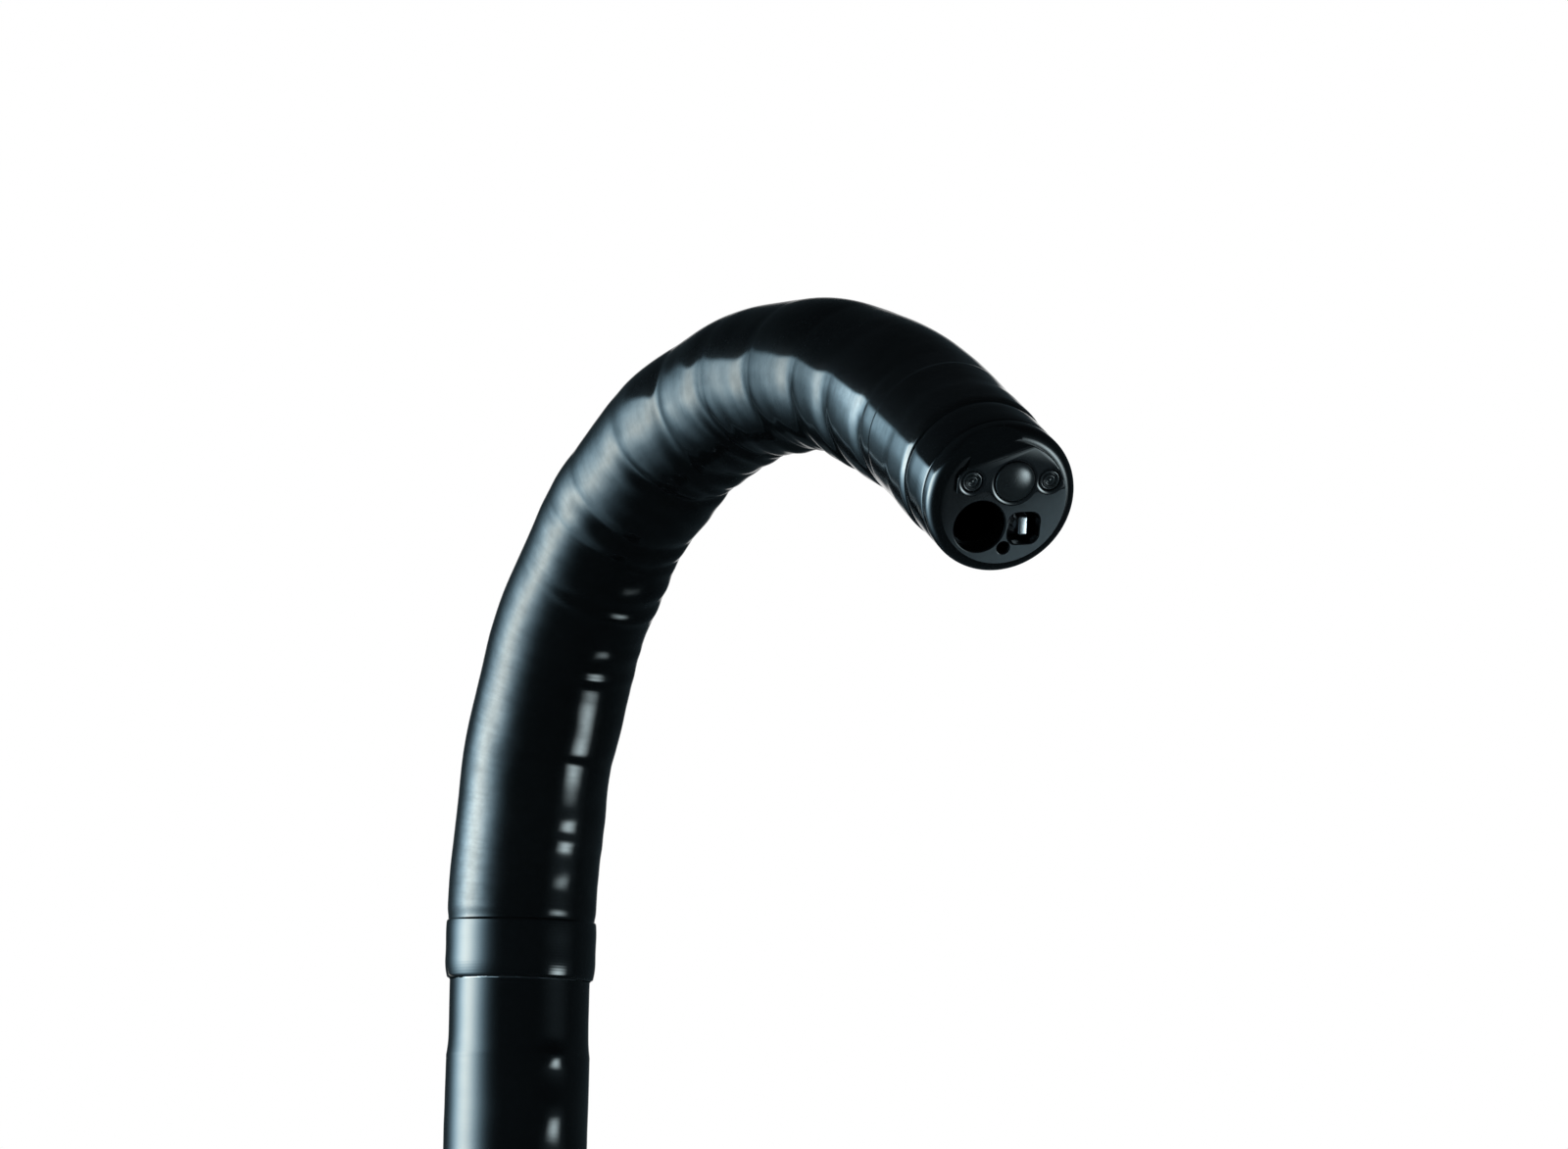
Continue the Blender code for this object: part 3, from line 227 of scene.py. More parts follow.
def rubberMaterial():
    constants = {"IOR": 1.40, "Specular IOR Level": 0.03, "Coat IOR": 1.5, "Coat Roughness": 0.10}
    made, tree, shader = newMaterial("coverRubber", constants)
    place = scaledPlace(tree)
    handling = cloud(tree, place, 0.16)
    grain = cloud(tree, place, 2.2, 2.0)
    pores = cloud(tree, place, 9.0, 2.0)
    uv = addNode(tree, "ShaderNodeUVMap")
    along = addNode(tree, "ShaderNodeSeparateXYZ", {}, {"Vector": uv}, "Y")
    settings = {"stops": rubberFinish["lacquer"]}
    lacquer = addNode(tree, "ShaderNodeValToRGB", settings, {"Fac": along})
    # fine streaks round the skin, where it has been rubbed along its length
    streaks = addNode(tree, "ShaderNodeMapping", {}, {"Vector": uv, "Scale": (9, 190, 1)})
    rubbed = cloud(tree, streaks, 1.0, 5.0, 0.7)
    patchy = cloud(tree, place, 0.75, 4.0, 0.65)
    colour = mixColour(tree, handling, rubberFinish["base"], rubberFinish["dusty"])
    lacquer = lacquer * (0.28 + 0.62 * rubbed + 0.82 * patchy)
    feed(tree, shader, Base_Color=colour, Roughness=rubberFinish["smooth"] + 0.2 * grain,
         Coat_Weight=lacquer)
    bumped(tree, shader, grain + 0.15 * pores, 0.000012, 0.35)
    return made


jacketFinish = {
    "base": (0.0010, 0.0012, 0.0014),
    "dusty": (0.0018, 0.0021, 0.0024),
    "smooth": 0.06,
    "worn": 0.06,
}


def jacketMaterial():
    made, tree, shader = newMaterial("tubeJacket", {"IOR": 1.5})
    place = scaledPlace(tree)
    drawn = scaledPlace(tree, (260, 260, 1400))
    handling = cloud(tree, place, 0.2)
    rings = cloud(tree, drawn, 0.7, 2.0)
    grain = cloud(tree, place, 3.0, 2.0)
    colour = mixColour(tree, handling, jacketFinish["base"], jacketFinish["dusty"])
    rough = jacketFinish["smooth"] + jacketFinish["worn"] * handling
    feed(tree, shader, Base_Color=colour, Roughness=rough)
    bumped(tree, shader, rings + 0.2 * grain, 0.00002, 0.35)
    return made


bindingFinish = {
    "base": (0.0010, 0.0012, 0.0014),
    "cloudy": (0.0018, 0.0021, 0.0024),
    "threadPitch": 0.22,     # millimetres from one turn of the thread to the next
}


def bindingMaterial(name, length):
    # Thread under clear resin; the length is the piece's own along its UV height, in millimetres.
    made, tree, shader = newMaterial(name, {"IOR": 1.52})
    place = scaledPlace(tree)
    flow = cloud(tree, place, 0.45)
    uv = addNode(tree, "ShaderNodeUVMap")
    height = addNode(tree, "ShaderNodeSeparateXYZ", {}, {"Vector": uv}, "Y")
    along = height * (length / bindingFinish["threadPitch"])
    thread = addNode(tree, "ShaderNodeMath", {"operation": "SINE"}, {0: along * (2 * math.pi)})
    colour = mixColour(tree, flow, bindingFinish["base"], bindingFinish["cloudy"])
    feed(tree, shader, Base_Color=colour, Roughness=0.05 + 0.06 * flow)
    bumped(tree, shader, 0.2 * thread + flow, 0.000014, 0.3)
    return made


capFinish = {
    "base": (0.0010, 0.0013, 0.0015),
    "scuffed": (0.0022, 0.0028, 0.0033),
    "smooth": 0.07,
    "worn": 0.08,
}


def capMaterial():
    made, tree, shader = newMaterial("mouldedCap", {"IOR": 1.5})
    place = scaledPlace(tree)
    scuffs = cloud(tree, place, 0.9, 5.0)
    grain = cloud(tree, place, 14.0, 2.0)
    colour = mixColour(tree, scuffs, capFinish["base"], capFinish["scuffed"])
    rough = capFinish["smooth"] + capFinish["worn"] * scuffs
    feed(tree, shader, Base_Color=colour, Roughness=rough)
    bumped(tree, shader, grain + scuffs, 0.000006, 0.3)
    return made


groundAndSheenFinish = {
    # the shaded colour is painted shade at the upper left, the open colour a painted sheen at the lower right
    "shaded": (0.002, 0.003, 0.004),
    "open": (0.078, 0.104, 0.118),
    "smooth": 0.17,
}


def groundAndSheenMaterial():
    # The flat face of the cap is ground dull. Its colour is painted lighter towards its lower right as a painted
    # sheen, and darker towards its upper left as painted shade.
    made, tree, shader = newMaterial("groundFaceWithPaintedSheen", {"IOR": 1.5})
    place = scaledPlace(tree)
    lean = paintedSheenDirection()
    settings = {"operation": "DOT_PRODUCT"}
    across = addNode(tree, "ShaderNodeVectorMath", settings, {0: place, 1: tuple(lean.xyz)}, 1)
    scuffs = cloud(tree, place, 1.4, 5.0)
    # share of the painted sheen: from painted shade at the upper left to painted sheen at the lower right
    reach = addNode(tree, "ShaderNodeMapRange", {"interpolation_type": "SMOOTHSTEP"},
                    {"Value": across - lean.w + scuffs, "From Min": -2.6, "From Max": 6.4})
    colour = mixColour(tree, reach, groundAndSheenFinish["shaded"], groundAndSheenFinish["open"])
    grain = cloud(tree, place, 16.0, 2.0)
    feed(tree, shader, Base_Color=colour, Roughness=groundAndSheenFinish["smooth"] + 0.10 * grain)
    bumped(tree, shader, grain + scuffs, 0.000006, 0.3)
    return made


def paintedSheenDirection():
    # The direction across the face towards its lower right, along which the painted sheen grows, in millimetres
    # from its middle.
    face = station(line["face"])
    lean = face.to_3x3() @ Vector((0.8, 0.6, 0))
    return Vector((*lean, lean.dot(face.translation) / mm))


steelFinish = {
    "bright": (0.62, 0.63, 0.64),
    "dull": (0.42, 0.43, 0.45),
    "smooth": 0.22,
}


def steelMaterial():
    made, tree, shader = newMaterial("brushedSteel", {"Metallic": 1.0})
    place = scaledPlace(tree)
    brushed = cloud(tree, scaledPlace(tree, (900, 900, 9000)), 1.0, 4.0)
    stains = cloud(tree, place, 0.6)
    colour = mixColour(tree, stains, steelFinish["dull"], steelFinish["bright"])
    feed(tree, shader, Base_Color=colour, Roughness=steelFinish["smooth"] + 0.18 * brushed)
    bumped(tree, shader, brushed, 0.000006, 0.4)
    return made


shadowFinish = {
    # painted shade: the steel is coloured dark because it lies deep in the tip
    "dark": (0.010, 0.011, 0.012),
    "worn": (0.035, 0.037, 0.040),
    "smooth": 0.35,
}


def shadowSteel():
    # Steel deep in a bore, coloured dark as painted shade.
    made, tree, shader = newMaterial("paintedShadeSteel", {"Metallic": 1.0})
    stains = cloud(tree, scaledPlace(tree), 1.2)
    colour = mixColour(tree, stains, shadowFinish["dark"], shadowFinish["worn"])
    feed(tree, shader, Base_Color=colour, Roughness=shadowFinish["smooth"] + 0.2 * stains)
    return made


channelFinish = {
    "milky": (0.74, 0.72, 0.67),
    "clear": (0.86, 0.85, 0.81),
    "smooth": 0.36,
}


def channelMaterial():
    made, tree, shader = newMaterial("channelPlastic", {"IOR": 1.38})
    place = scaledPlace(tree)
    flow = cloud(tree, place, 0.5)
    colour = mixColour(tree, flow, channelFinish["milky"], channelFinish["clear"])
    feed(tree, shader, Base_Color=colour, Roughness=channelFinish["smooth"] + 0.12 * flow)
    bumped(tree, shader, flow, 0.00001, 0.2)
    return made


fibreFinish = {
    "hollow": (0.035, 0.036, 0.040),
    "ridge": (0.075, 0.076, 0.082),
    "smooth": 0.42,
}


def fibreMaterial():
    made, tree, shader = newMaterial("sheathedBundle", {"IOR": 1.45})
    ribs = cloud(tree, scaledPlace(tree, (1500, 1500, 1500)), 1.6)
    colour = mixColour(tree, ribs, fibreFinish["hollow"], fibreFinish["ridge"])
    feed(tree, shader, Base_Color=colour, Roughness=fibreFinish["smooth"] + 0.15 * ribs)
    bumped(tree, shader, ribs, 0.00002, 0.4)
    return made


def glassMaterial(name, tint, smooth, smudge):
    constants = {"IOR": 1.7, "Coat Weight": 0.10, "Coat Roughness": 0.06}
    made, tree, shader = newMaterial(name, constants)
    place = scaledPlace(tree)
    film = cloud(tree, place, 0.8, 4.0)
    colour = mixColour(tree, film, tint, tuple(1.6 * part for part in tint))
    feed(tree, shader, Base_Color=colour, Roughness=smooth + smudge * film)
    return made


finishes = {
    "rubber": rubberMaterial(),
    "jacket": jacketMaterial(),
    "cap": capMaterial(),
    "steel": steelMaterial(),
    "channel": channelMaterial(),
    "fibre": fibreMaterial(),
    "glass": glassMaterial("lensGlass", (0.006, 0.009, 0.010), 0.24, 0.10),
    "window": glassMaterial("windowGlass", (0.012, 0.016, 0.018), 0.07, 0.05),
    "ground": groundAndSheenMaterial(),
    "seal": glassMaterial("sealCement", (0.003, 0.004, 0.005), 0.05, 0.12),
    "shadow": shadowSteel(),
}
junctionResin = bindingMaterial("junctionResin", 4.5)
tipResin = bindingMaterial("tipResin", 3.8)
print("finishes ready")


# Tools for the pieces

def linkedObject(bm, name, material, sharp=None):
    mesh = bpy.data.meshes.new(name)
    bm.to_mesh(mesh)
    bm.free()
    obj = bpy.data.objects.new(name, mesh)
    bpy.context.scene.collection.objects.link(obj)
    if material:
        mesh.materials.append(material)
    mesh.shade_smooth()
    if sharp:
        mesh.set_sharp_from_angle(angle=math.radians(sharp))
    return obj


def rolledSheet(sides, rows):
    # A flat grid: x becomes the angle round the line, y runs from 0 to 1 along it.
    bm = bmesh.new()
    bm.loops.layers.uv.new("UVMap")
    bmesh.ops.create_grid(bm, x_segments=sides, y_segments=rows, size=0.5, calc_uvs=True)
    bmesh.ops.translate(bm, verts=bm.verts, vec=(0.5, 0.5, 0))
    return bm


def spaced(start, end, count):
    return [start + (end - start) * k / count for k in range(count + 1)]


def wrap(bm, spots, radiusAt):
    # Rolls the sheet round the centre line: each row at its own spot, as wide as radiusAt says.
    rows = len(spots) - 1
    places = [station(spot) for spot in spots]
    for vert in bm.verts:
        angle = vert.co.x * 2 * math.pi
        row = round(vert.co.y * rows)
        radius = radiusAt(spots[row], angle)
        vert.co = places[row] @ Vector((radius * math.cos(angle), radius * math.sin(angle), 0))
    bmesh.ops.remove_doubles(bm, verts=bm.verts, dist=1e-7)
    bmesh.ops.recalc_face_normals(bm, faces=bm.faces)


def turned(profile, steps=96, closed=False):
    # A bmesh spun from (radius, height) pairs about Z; a radius of zero closes a pole.
    bm = bmesh.new()
    bm.loops.layers.uv.new("UVMap")
    verts = [bm.verts.new((radius, 0, height)) for radius, height in profile]
    pairs = list(zip(verts, verts[1:])) + ([(verts[-1], verts[0])] if closed else [])
    edges = [bm.edges.new(pair) for pair in pairs]
    bmesh.ops.spin(bm, geom=verts + edges, cent=(0, 0, 0), axis=(0, 0, 1), dvec=(0, 0, 0),
                   angle=2 * math.pi, steps=steps, use_merge=True)
    bmesh.ops.remove_doubles(bm, verts=bm.verts, dist=1e-8)
    bmesh.ops.recalc_face_normals(bm, faces=bm.faces)
    return bm


def heightUv(bm, low, high):
    # UV height from 0 at low to 1 at high, before the piece is put in its place.
    layer = bm.loops.layers.uv.verify()
    for face in bm.faces:
        for loop in face.loops:
            point = loop.vert.co
            angle = math.atan2(point.y, point.x) / (2 * math.pi)
            loop[layer].uv = (angle, (point.z - low) / (high - low))


def rounded(radius, height, corner, quarter, steps=6):
    # The points of a rounded corner; quarter 0 goes from rising outwards to level, and so on.
    points = []
    for k in range(steps + 1):
        angle = math.radians(90 * (quarter + k / steps))
        points.append((radius + corner * math.cos(angle), height + corner * math.sin(angle)))
    return points


def carve(target, tools, operation="DIFFERENCE"):
    # Cuts or joins the tools and leaves one plain mesh.
    for tool in tools:
        modifier = target.modifiers.new(operation.lower(), "BOOLEAN")
        modifier.operation = operation
        modifier.solver = "EXACT"
        modifier.object = tool
    bpy.context.view_layer.update()
    graph = bpy.context.evaluated_depsgraph_get()
    finished = bpy.data.meshes.new_from_object(target.evaluated_get(graph))
    target.modifiers.clear()
    target.data = finished
    for tool in tools:
        bpy.data.objects.remove(tool, do_unlink=True)


def tipPlace(offset=(0, 0)):
    # From (down, right, forward of the face) at this (right, up) offset to the frame.
    right, up = offset
    aside = Matrix.Translation((-up * mm, right * mm, 0))
    return station(line["face"]) @ aside @ Matrix.Scale(mm, 4)


# Cover of the bending section: one skin, shaped whole, then cut at the middle of each link

cover = {
    "radius": 5.60 * mm,
    "start": 28.3 * mm,
    "front": 5.85 * mm,            # back from the face
    "sides": 112,
    "rowsPerLink": 24,
    "wall": 0.40 * mm,
    "hemLine": 9.4 * mm,           # back from the face: the edge of the binding under the cover
    # places along the skin of the valleys between the bulges
    "folds": (60.4, 63.5, 69.8, 75.6, 81.6, 88.0, 94.2, 100.2, 106.6),
    "foldDepth": 0.19 * mm,
    "foldWidth": 0.85 * mm,
    "foldSlant": (0.42, 0.7),      # how far each valley leans round the skin, rear and front
    "slantFrom": 80,
    "foldFacing": (-38, 82),       # degrees round the skin from the inside of the bend, and spread
    "arch": (54, 62),              # where the folds grow from nothing to their depth
    "crown": (0.10 * mm, 0.20 * mm),      # of the bulges at the rear and at the front of the arch
    "crownGrows": (70, 95),
    "squeeze": 0.55 * mm,                 # how far the skin bellies out inside the bend
    "squeezePlace": (101, 6),             # along the skin, and its spread
    "squeezeFacing": (-12, 48),
    "wrinkleDepth": 0.05 * mm,
    "wrinklePitch": 2.3,
    "wrinklePlace": (78, 20),
    "ringFacing": (-6, 52),
    # how far the skin stands out on the side that faces the lens: (place, height)
    "rings": (
        (28.5, 0.0), (31.2, -0.03), (31.9, 0.03), (34.0, -0.05), (34.9, 0.05), (36.0, -0.02),
        (36.8, 0.07), (38.0, -0.04), (41.4, -0.02), (42.9, 0.16), (46.6, -0.06), (48.1, -0.08),
        (48.8, 0.10), (49.7, -0.04), (50.7, 0.10), (51.8, -0.05), (54.8, -0.10), (55.6, 0.22),
        (56.25, -0.10), (56.9, 0.22), (58.2, -0.06), (60.0, 0.0),
    ),
    "softness": 0.10 * mm,         # height of the slow unevenness of the skin
    "grain": 0.022 * mm,           # and of the finer one
    "bindingStep": 0.08,           # how far the binding lifts the front of the skin
    "slack": 0.05,                 # how far the skin sinks on the arch
    "frontHem": (0.16 * mm, 0.35),      # how deep the hem is tied down, and its spread
    "rearHem": (0.10 * mm, 0.5),
}


def bell(x, centre=0, spread=1):
    return math.exp(-((x - centre) / spread) ** 2)


def ramp(x, low, high):
    # From 0 at low to 1 at high, level before and after.
    return min(1, max(0, (x - low) / (high - low)))


def stepDown(x, place, width):
    # A soft step from 1 before this place to 0 after it.
    return 1 / (1 + math.exp((x - place) / width))


def facing(angle):
    # Degrees round from the inside of the bend, from -180 to 180.
    turn = math.degrees(angle)
    return turn - 360 if turn > 180 else turn


def softRings(s):
    return 0.25 * ringHeight(s - 0.3) + 0.5 * ringHeight(s) + 0.25 * ringHeight(s + 0.3)


def ringHeight(s):
    # The height between two entries of the list, with level ends.
    rings = cover["rings"]
    for (low, first), (high, second) in zip(rings, rings[1:]):
        if low <= s < high:
            share = (s - low) / (high - low)
            return first + (second - first) * share * share * (3 - 2 * share)
    return 0


def foldRelief(s, angle):
    # The valleys, and the bulges between them.
    folds = cover["folds"]
    wander = 0.55 * noise.noise((s * 0.11, math.cos(angle) * 1.3, math.sin(angle) * 1.3))
    relief = 0
    for fold in folds:
        lean = cover["foldSlant"][1 if fold > cover["slantFrom"] else 0]
        valley = fold + wander + lean * math.sin(angle)
        relief -= cover["foldDepth"] * bell(s, valley, cover["foldWidth"] / mm)
    for low, high in zip(folds, folds[1:]):
        if low <= s < high:
            share = (s - low) / (high - low)
            rear, front = cover["crown"]
            crown = rear + (front - rear) * ramp(low, *cover["crownGrows"])
            relief += crown * (4 * share * (1 - share) - 0.6)
    return relief


def wrinkleRelief(s, angle):
    # Fine wrinkles where the inside of the bend is squeezed.
    inner = 0.5 + 0.5 * math.cos(angle)
    wave = math.sin(2 * math.pi * (s + 1.6 * math.sin(2 * angle)) / cover["wrinklePitch"])
    return cover["wrinkleDepth"] * bell(s, *cover["wrinklePlace"]) * inner ** 3 * wave


def hemRelief(s, grow):
    # The binding under the front of the cover, and the hems at both ends.
    back = line["face"] / mm - s
    step = stepDown(back, cover["hemLine"] / mm, 0.28)
    relief = (cover["bindingStep"] * step - cover["slack"]) * mm * min(1, grow + 0.2)
    depth, spread = cover["frontHem"]
    relief -= depth * bell(back, cover["front"] / mm, spread)
    depth, spread = cover["rearHem"]
    return relief - depth * bell(s, line["bandFront"] / mm, spread)


def coverRadius(distance, angle):
    s = distance / mm
    turn = facing(angle)
    grow = ramp(s, *cover["arch"])
    relief = foldRelief(s, angle) * bell(turn, *cover["foldFacing"]) * grow
    belly = bell(s, *cover["squeezePlace"]) * bell(turn, *cover["squeezeFacing"])
    relief += cover["squeeze"] * belly
    relief += wrinkleRelief(s, angle)
    # rings on the side that faces the lens
    lean = 0.35 * math.sin(angle + s)
    relief += softRings(s - lean) * mm * bell(turn, *cover["ringFacing"])
    # the soft unevenness of a stretched skin
    point = (s * 0.115, math.cos(angle) * 1.1 + 7, math.sin(angle) * 1.1)
    relief += cover["softness"] * noise.noise(point) * max(0.25, ramp(s, 34, 44))
    finer = (s * 0.42, math.cos(angle) * 2.6, math.sin(angle) * 2.6 + 3)
    relief += cover["grain"] * noise.noise(finer)
    return cover["radius"] + relief + hemRelief(s, grow)


def shapeCover():
    # The skin in whole; each face knows the part that it belongs to.
    pieces = len(hinges)
    perLink = cover["rowsPerLink"]
    lastMiddle = firstMiddle + pieces * line["linkPitch"]
    frontEnd = line["face"] - cover["front"]
    frontRows = round((frontEnd - lastMiddle) / line["linkPitch"] * perLink)
    step = line["linkPitch"] / perLink
    rearRows = round((firstMiddle - cover["start"]) / step) or 1
    rows = rearRows + pieces * perLink + frontRows
    spots = spaced(cover["start"], firstMiddle, rearRows)[:-1]
    spots += spaced(firstMiddle, lastMiddle, pieces * perLink)[:-1]
    spots += spaced(lastMiddle, frontEnd, frontRows)
    bm = rolledSheet(cover["sides"], rows)
    part = bm.faces.layers.int.new("part")
    for face in bm.faces:
        row = int(face.calc_center_median().y * rows) - rearRows
        face[part] = -1 if row < 0 else min(row // perLink, pieces)
    uv = bm.loops.layers.uv.active
    for face in bm.faces:
        for loop in face.loops:
            row = round(loop[uv].uv.y * rows)
            loop[uv].uv.y = (spots[row] - spots[0]) / (spots[-1] - spots[0])
    wrap(bm, spots, coverRadius)
    return bm


def cutPart(whole, number, name, material, wall):
    # One part of the cover as a closed piece that keeps the shading of the whole.
    bm = whole.copy()
    part = bm.faces.layers.int["part"]
    others = [face for face in bm.faces if face[part] != number]
    bmesh.ops.delete(bm, geom=others, context="FACES")
    bm.verts.index_update()
    outer = len(bm.verts)
    shading = bm.verts.layers.float_vector["shading"]
    kept = [vert[shading].copy() for vert in bm.verts]
    bmesh.ops.solidify(bm, geom=bm.faces[:], thickness=wall)
    bm.normal_update()
    bm.verts.index_update()
    normals = [kept[k] if k < outer else vert.normal.copy() for k, vert in enumerate(bm.verts)]
    obj = linkedObject(bm, name, material)
    obj.data.normals_split_custom_set_from_vertices(normals)
    return obj


def storeShading(bm):
    layer = bm.verts.layers.float_vector.new("shading")
    bm.normal_update()
    for vert in bm.verts:
        vert[layer] = vert.normal


whole = shapeCover()
storeShading(whole)
for number in range(-1, len(hinges) + 1):
    name = f"coverPart{number + 1:02d}"
    piece = cutPart(whole, number, name, finishes["rubber"], cover["wall"])
    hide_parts("bending_section_cover")
    if number < 0:
        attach(piece, "insertion_tube")
    elif number == len(hinges):
        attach(piece, "tip")
    else:
        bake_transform(piece)
whole.free()
print("cover ready")


# Lines inside the bending section: merged copies of the CAD tubes and wires, cut at each hinge

lineNodes = {
    "steel": ["bending_section_braid", "up_wire", "down_wire", "left_wire", "right_wire"],
    "channel": ["instrument_channel_tube", "air_tube", "water_tube", "water_jet_tube"],
    "fibre": ["light_guide_left", "light_guide_right", "camera_cable"],
}


def mergedCopies(names):
    bm = bmesh.new()
    for name in names:
        bm.from_mesh(nodes[name].data)
    bmesh.ops.remove_doubles(bm, verts=bm.verts, dist=1e-8)
    return bm


def slicedLines(slot, number, name):
    # The stretch of the lines between the middles of two bodies of the chain.
    bm = lineCopies[slot].copy()
    planes = []
    if number >= 0:
        planes.append((middle(number), -(turns[number] @ Vector((0, 0, 1)))))
    if number < len(hinges):
        planes.append((middle(number + 1), turns[number + 1] @ Vector((0, 0, 1))))
    if number >= 0:
        # what lies far off is dropped first, because the planes cut the whole arch
        keep = middle(number).lerp(middle(min(number + 1, len(hinges))), 0.5)
        reach = 3.4 * line["linkPitch"] if number < len(hinges) else 1
        far = [face for face in bm.faces
               if min((vert.co - keep).length for vert in face.verts) > reach]
        bmesh.ops.delete(bm, geom=far, context="FACES")
    for place, outward in planes:
        geom = bm.verts[:] + bm.edges[:] + bm.faces[:]
        cut = bmesh.ops.bisect_plane(bm, geom=geom, dist=1e-7, plane_co=place, plane_no=outward,
                                     clear_outer=True)
        edges = [item for item in cut["geom_cut"] if isinstance(item, bmesh.types.BMEdge)]
        bmesh.ops.triangle_fill(bm, edges=edges, use_beauty=True, normal=outward)
    bm.normal_update()
    return linkedObject(bm, name, finishes[slot], 35)


lineCopies = {slot: mergedCopies(names) for slot, names in lineNodes.items()}
for slot, names in lineNodes.items():
    for number in range(-1, len(hinges) + 1):
        piece = slicedLines(slot, number, f"{slot}Lines{number + 1:02d}")
        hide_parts(*names)
        if number < 0:
            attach(piece, "insertion_tube")
        elif number == len(hinges):
            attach(piece, "tip")
        else:
            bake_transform(piece)
    lineCopies[slot].free()
print("lines ready")


# Insertion tube, junction band and ferrule

tube = {
    "rear": 2.2 * mm,
    "front": 23.95 * mm,
    "collarRear": 18.8 * mm,
    "radius": 5.4365 * mm,
    "collarRadius": 5.2965 * mm,
    "boreRadius": 5.0665 * mm,
    "inset": 0.03 * mm,             # the skin stays this far inside the CAD tube
    "lip": (0.018 * mm, 18.3, 0.16),    # height, place along the tube and spread
    # soft swells: height, place along the tube and its spread, place round it and its spread
    "swells": ((0.20, 18.2, 0.75, -12, 15), (0.34, 14.0, 1.7, -14, 30)),
    "sides": 112,
    "rows": 150,
}


def tubeRadius(distance, angle):
    s = distance / mm
    behind = stepDown(s, tube["collarRear"] / mm, 0.30)
    radius = tube["collarRadius"] + (tube["radius"] - tube["collarRadius"]) * behind
    height, place, spread = tube["lip"]
    radius += height * bell(s, place, spread)
    wave = noise.noise((s * 0.16, math.cos(angle), math.sin(angle) + 4))
    ripple = noise.noise((s * 0.55, math.cos(angle) * 0.6 + 9, math.sin(angle) * 0.6))
    swell = sum(height * bell(s, place, spread) * bell(facing(angle), side, width)
                for height, place, spread, side, width in tube["swells"])
    return radius + (0.03 * wave + 0.016 * ripple + swell) * mm - tube["inset"]


def tubeSkin():
    bm = rolledSheet(tube["sides"], tube["rows"])
    wrap(bm, spaced(tube["rear"], tube["front"], tube["rows"]), tubeRadius)
    wall = tube["collarRadius"] - tube["boreRadius"] - tube["inset"]
    bmesh.ops.solidify(bm, geom=bm.faces[:], thickness=wall)
    return linkedObject(bm, "tubeSkin", finishes["jacket"], 50)


skin = tubeSkin()
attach(skin, "insertion_tube")
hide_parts("insertion_tube_jacket")

band = {
    "rear": 24.02 * mm,
    "front": 28.5 * mm,
    "radius": 5.70 * mm,
    "corner": 0.16 * mm,
    "valley": 0.05 * mm,
    "rearFall": 0.24 * mm,      # how far the long shoulders fall towards the two ends
    "frontFall": 0.09 * mm,
    "shoulder": 1.6 * mm,
    "bore": 5.30 * mm,
    "sides": 112,
    "unevenness": 0.03 * mm,
    "seed": 5,
}


def bandProfile(b):
    # From the bore at the rear round the outside to the bore at the front.
    corner, length = b["corner"], b["front"] - b["rear"]
    count = 36
    points = [(b["bore"], b["rear"])]
    for k in range(count + 1):
        along = length * k / count
        back = max(0, 1 - along / b["shoulder"])
        ahead = max(0, 1 - (length - along) / b["shoulder"])
        radius = b["radius"] - b["rearFall"] * back ** 2 - b["frontFall"] * ahead ** 2
        radius -= b["valley"] * (0.5 - 0.5 * math.cos(2 * math.pi * k / count))
        near = min(along, length - along)
        if near < corner:
            radius -= corner - math.sqrt(max(0, corner ** 2 - (corner - near) ** 2))
        points.append((radius, b["rear"] + along))
    return points + [(b["bore"], b["front"])]


def uneven(bm, amount, seed):
    # Resin laid by hand over thread is never quite round.
    for vert in bm.verts:
        radial = Vector((vert.co.x, vert.co.y, 0))
        if radial.length:
            point = vert.co / mm * 0.28 + Vector((seed, 0, 0))
            vert.co += radial.normalized() * amount * noise.noise(point)


def boundBand():
    bm = turned(bandProfile(band), band["sides"], closed=True)
    heightUv(bm, band["rear"], band["front"])
    uneven(bm, band["unevenness"], band["seed"])
    return linkedObject(bm, "junctionBinding", junctionResin, 50)


binding = boundBand()
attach(binding, "insertion_tube")
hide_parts("junction_band")

ferrule = {
    "flangeRadius": 6.9965 * mm,
    "flangeLength": 2.6 * mm,
    "neckRadius": 6.0965 * mm,
    "neckFront": 7.4 * mm,
    "floor": 2.0 * mm,
    "boreRadius": 4.6965 * mm,
    "socket": 5.5265 * mm,
    "edge": 0.3 * mm,
    "sides": 112,
}


def rearFerrule():
    f = ferrule
    flange, neck, edge = f["flangeRadius"], f["neckRadius"], f["edge"]
    profile = [(f["boreRadius"], 0), (flange - edge, 0)]
    profile += rounded(flange - edge, edge, edge, -1)[1:]
    profile += rounded(flange - edge, f["flangeLength"] - edge, edge, 0)
    profile += [(neck, f["flangeLength"])]
    profile += rounded(neck - edge, f["neckFront"] - edge, edge, 0)
    profile += [(f["socket"], f["neckFront"]), (f["socket"], f["floor"])]
    profile += [(f["boreRadius"], f["floor"])]
    bm = turned(profile, f["sides"], closed=True)
    return linkedObject(bm, "ferruleTurned", finishes["steel"], 40)


collar = rearFerrule()
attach(collar, "insertion_tube")
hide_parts("rear_ferrule")
print("tube ready")


# Tip: sizes in millimetres, heights measured forward from the face, offsets (right, up)

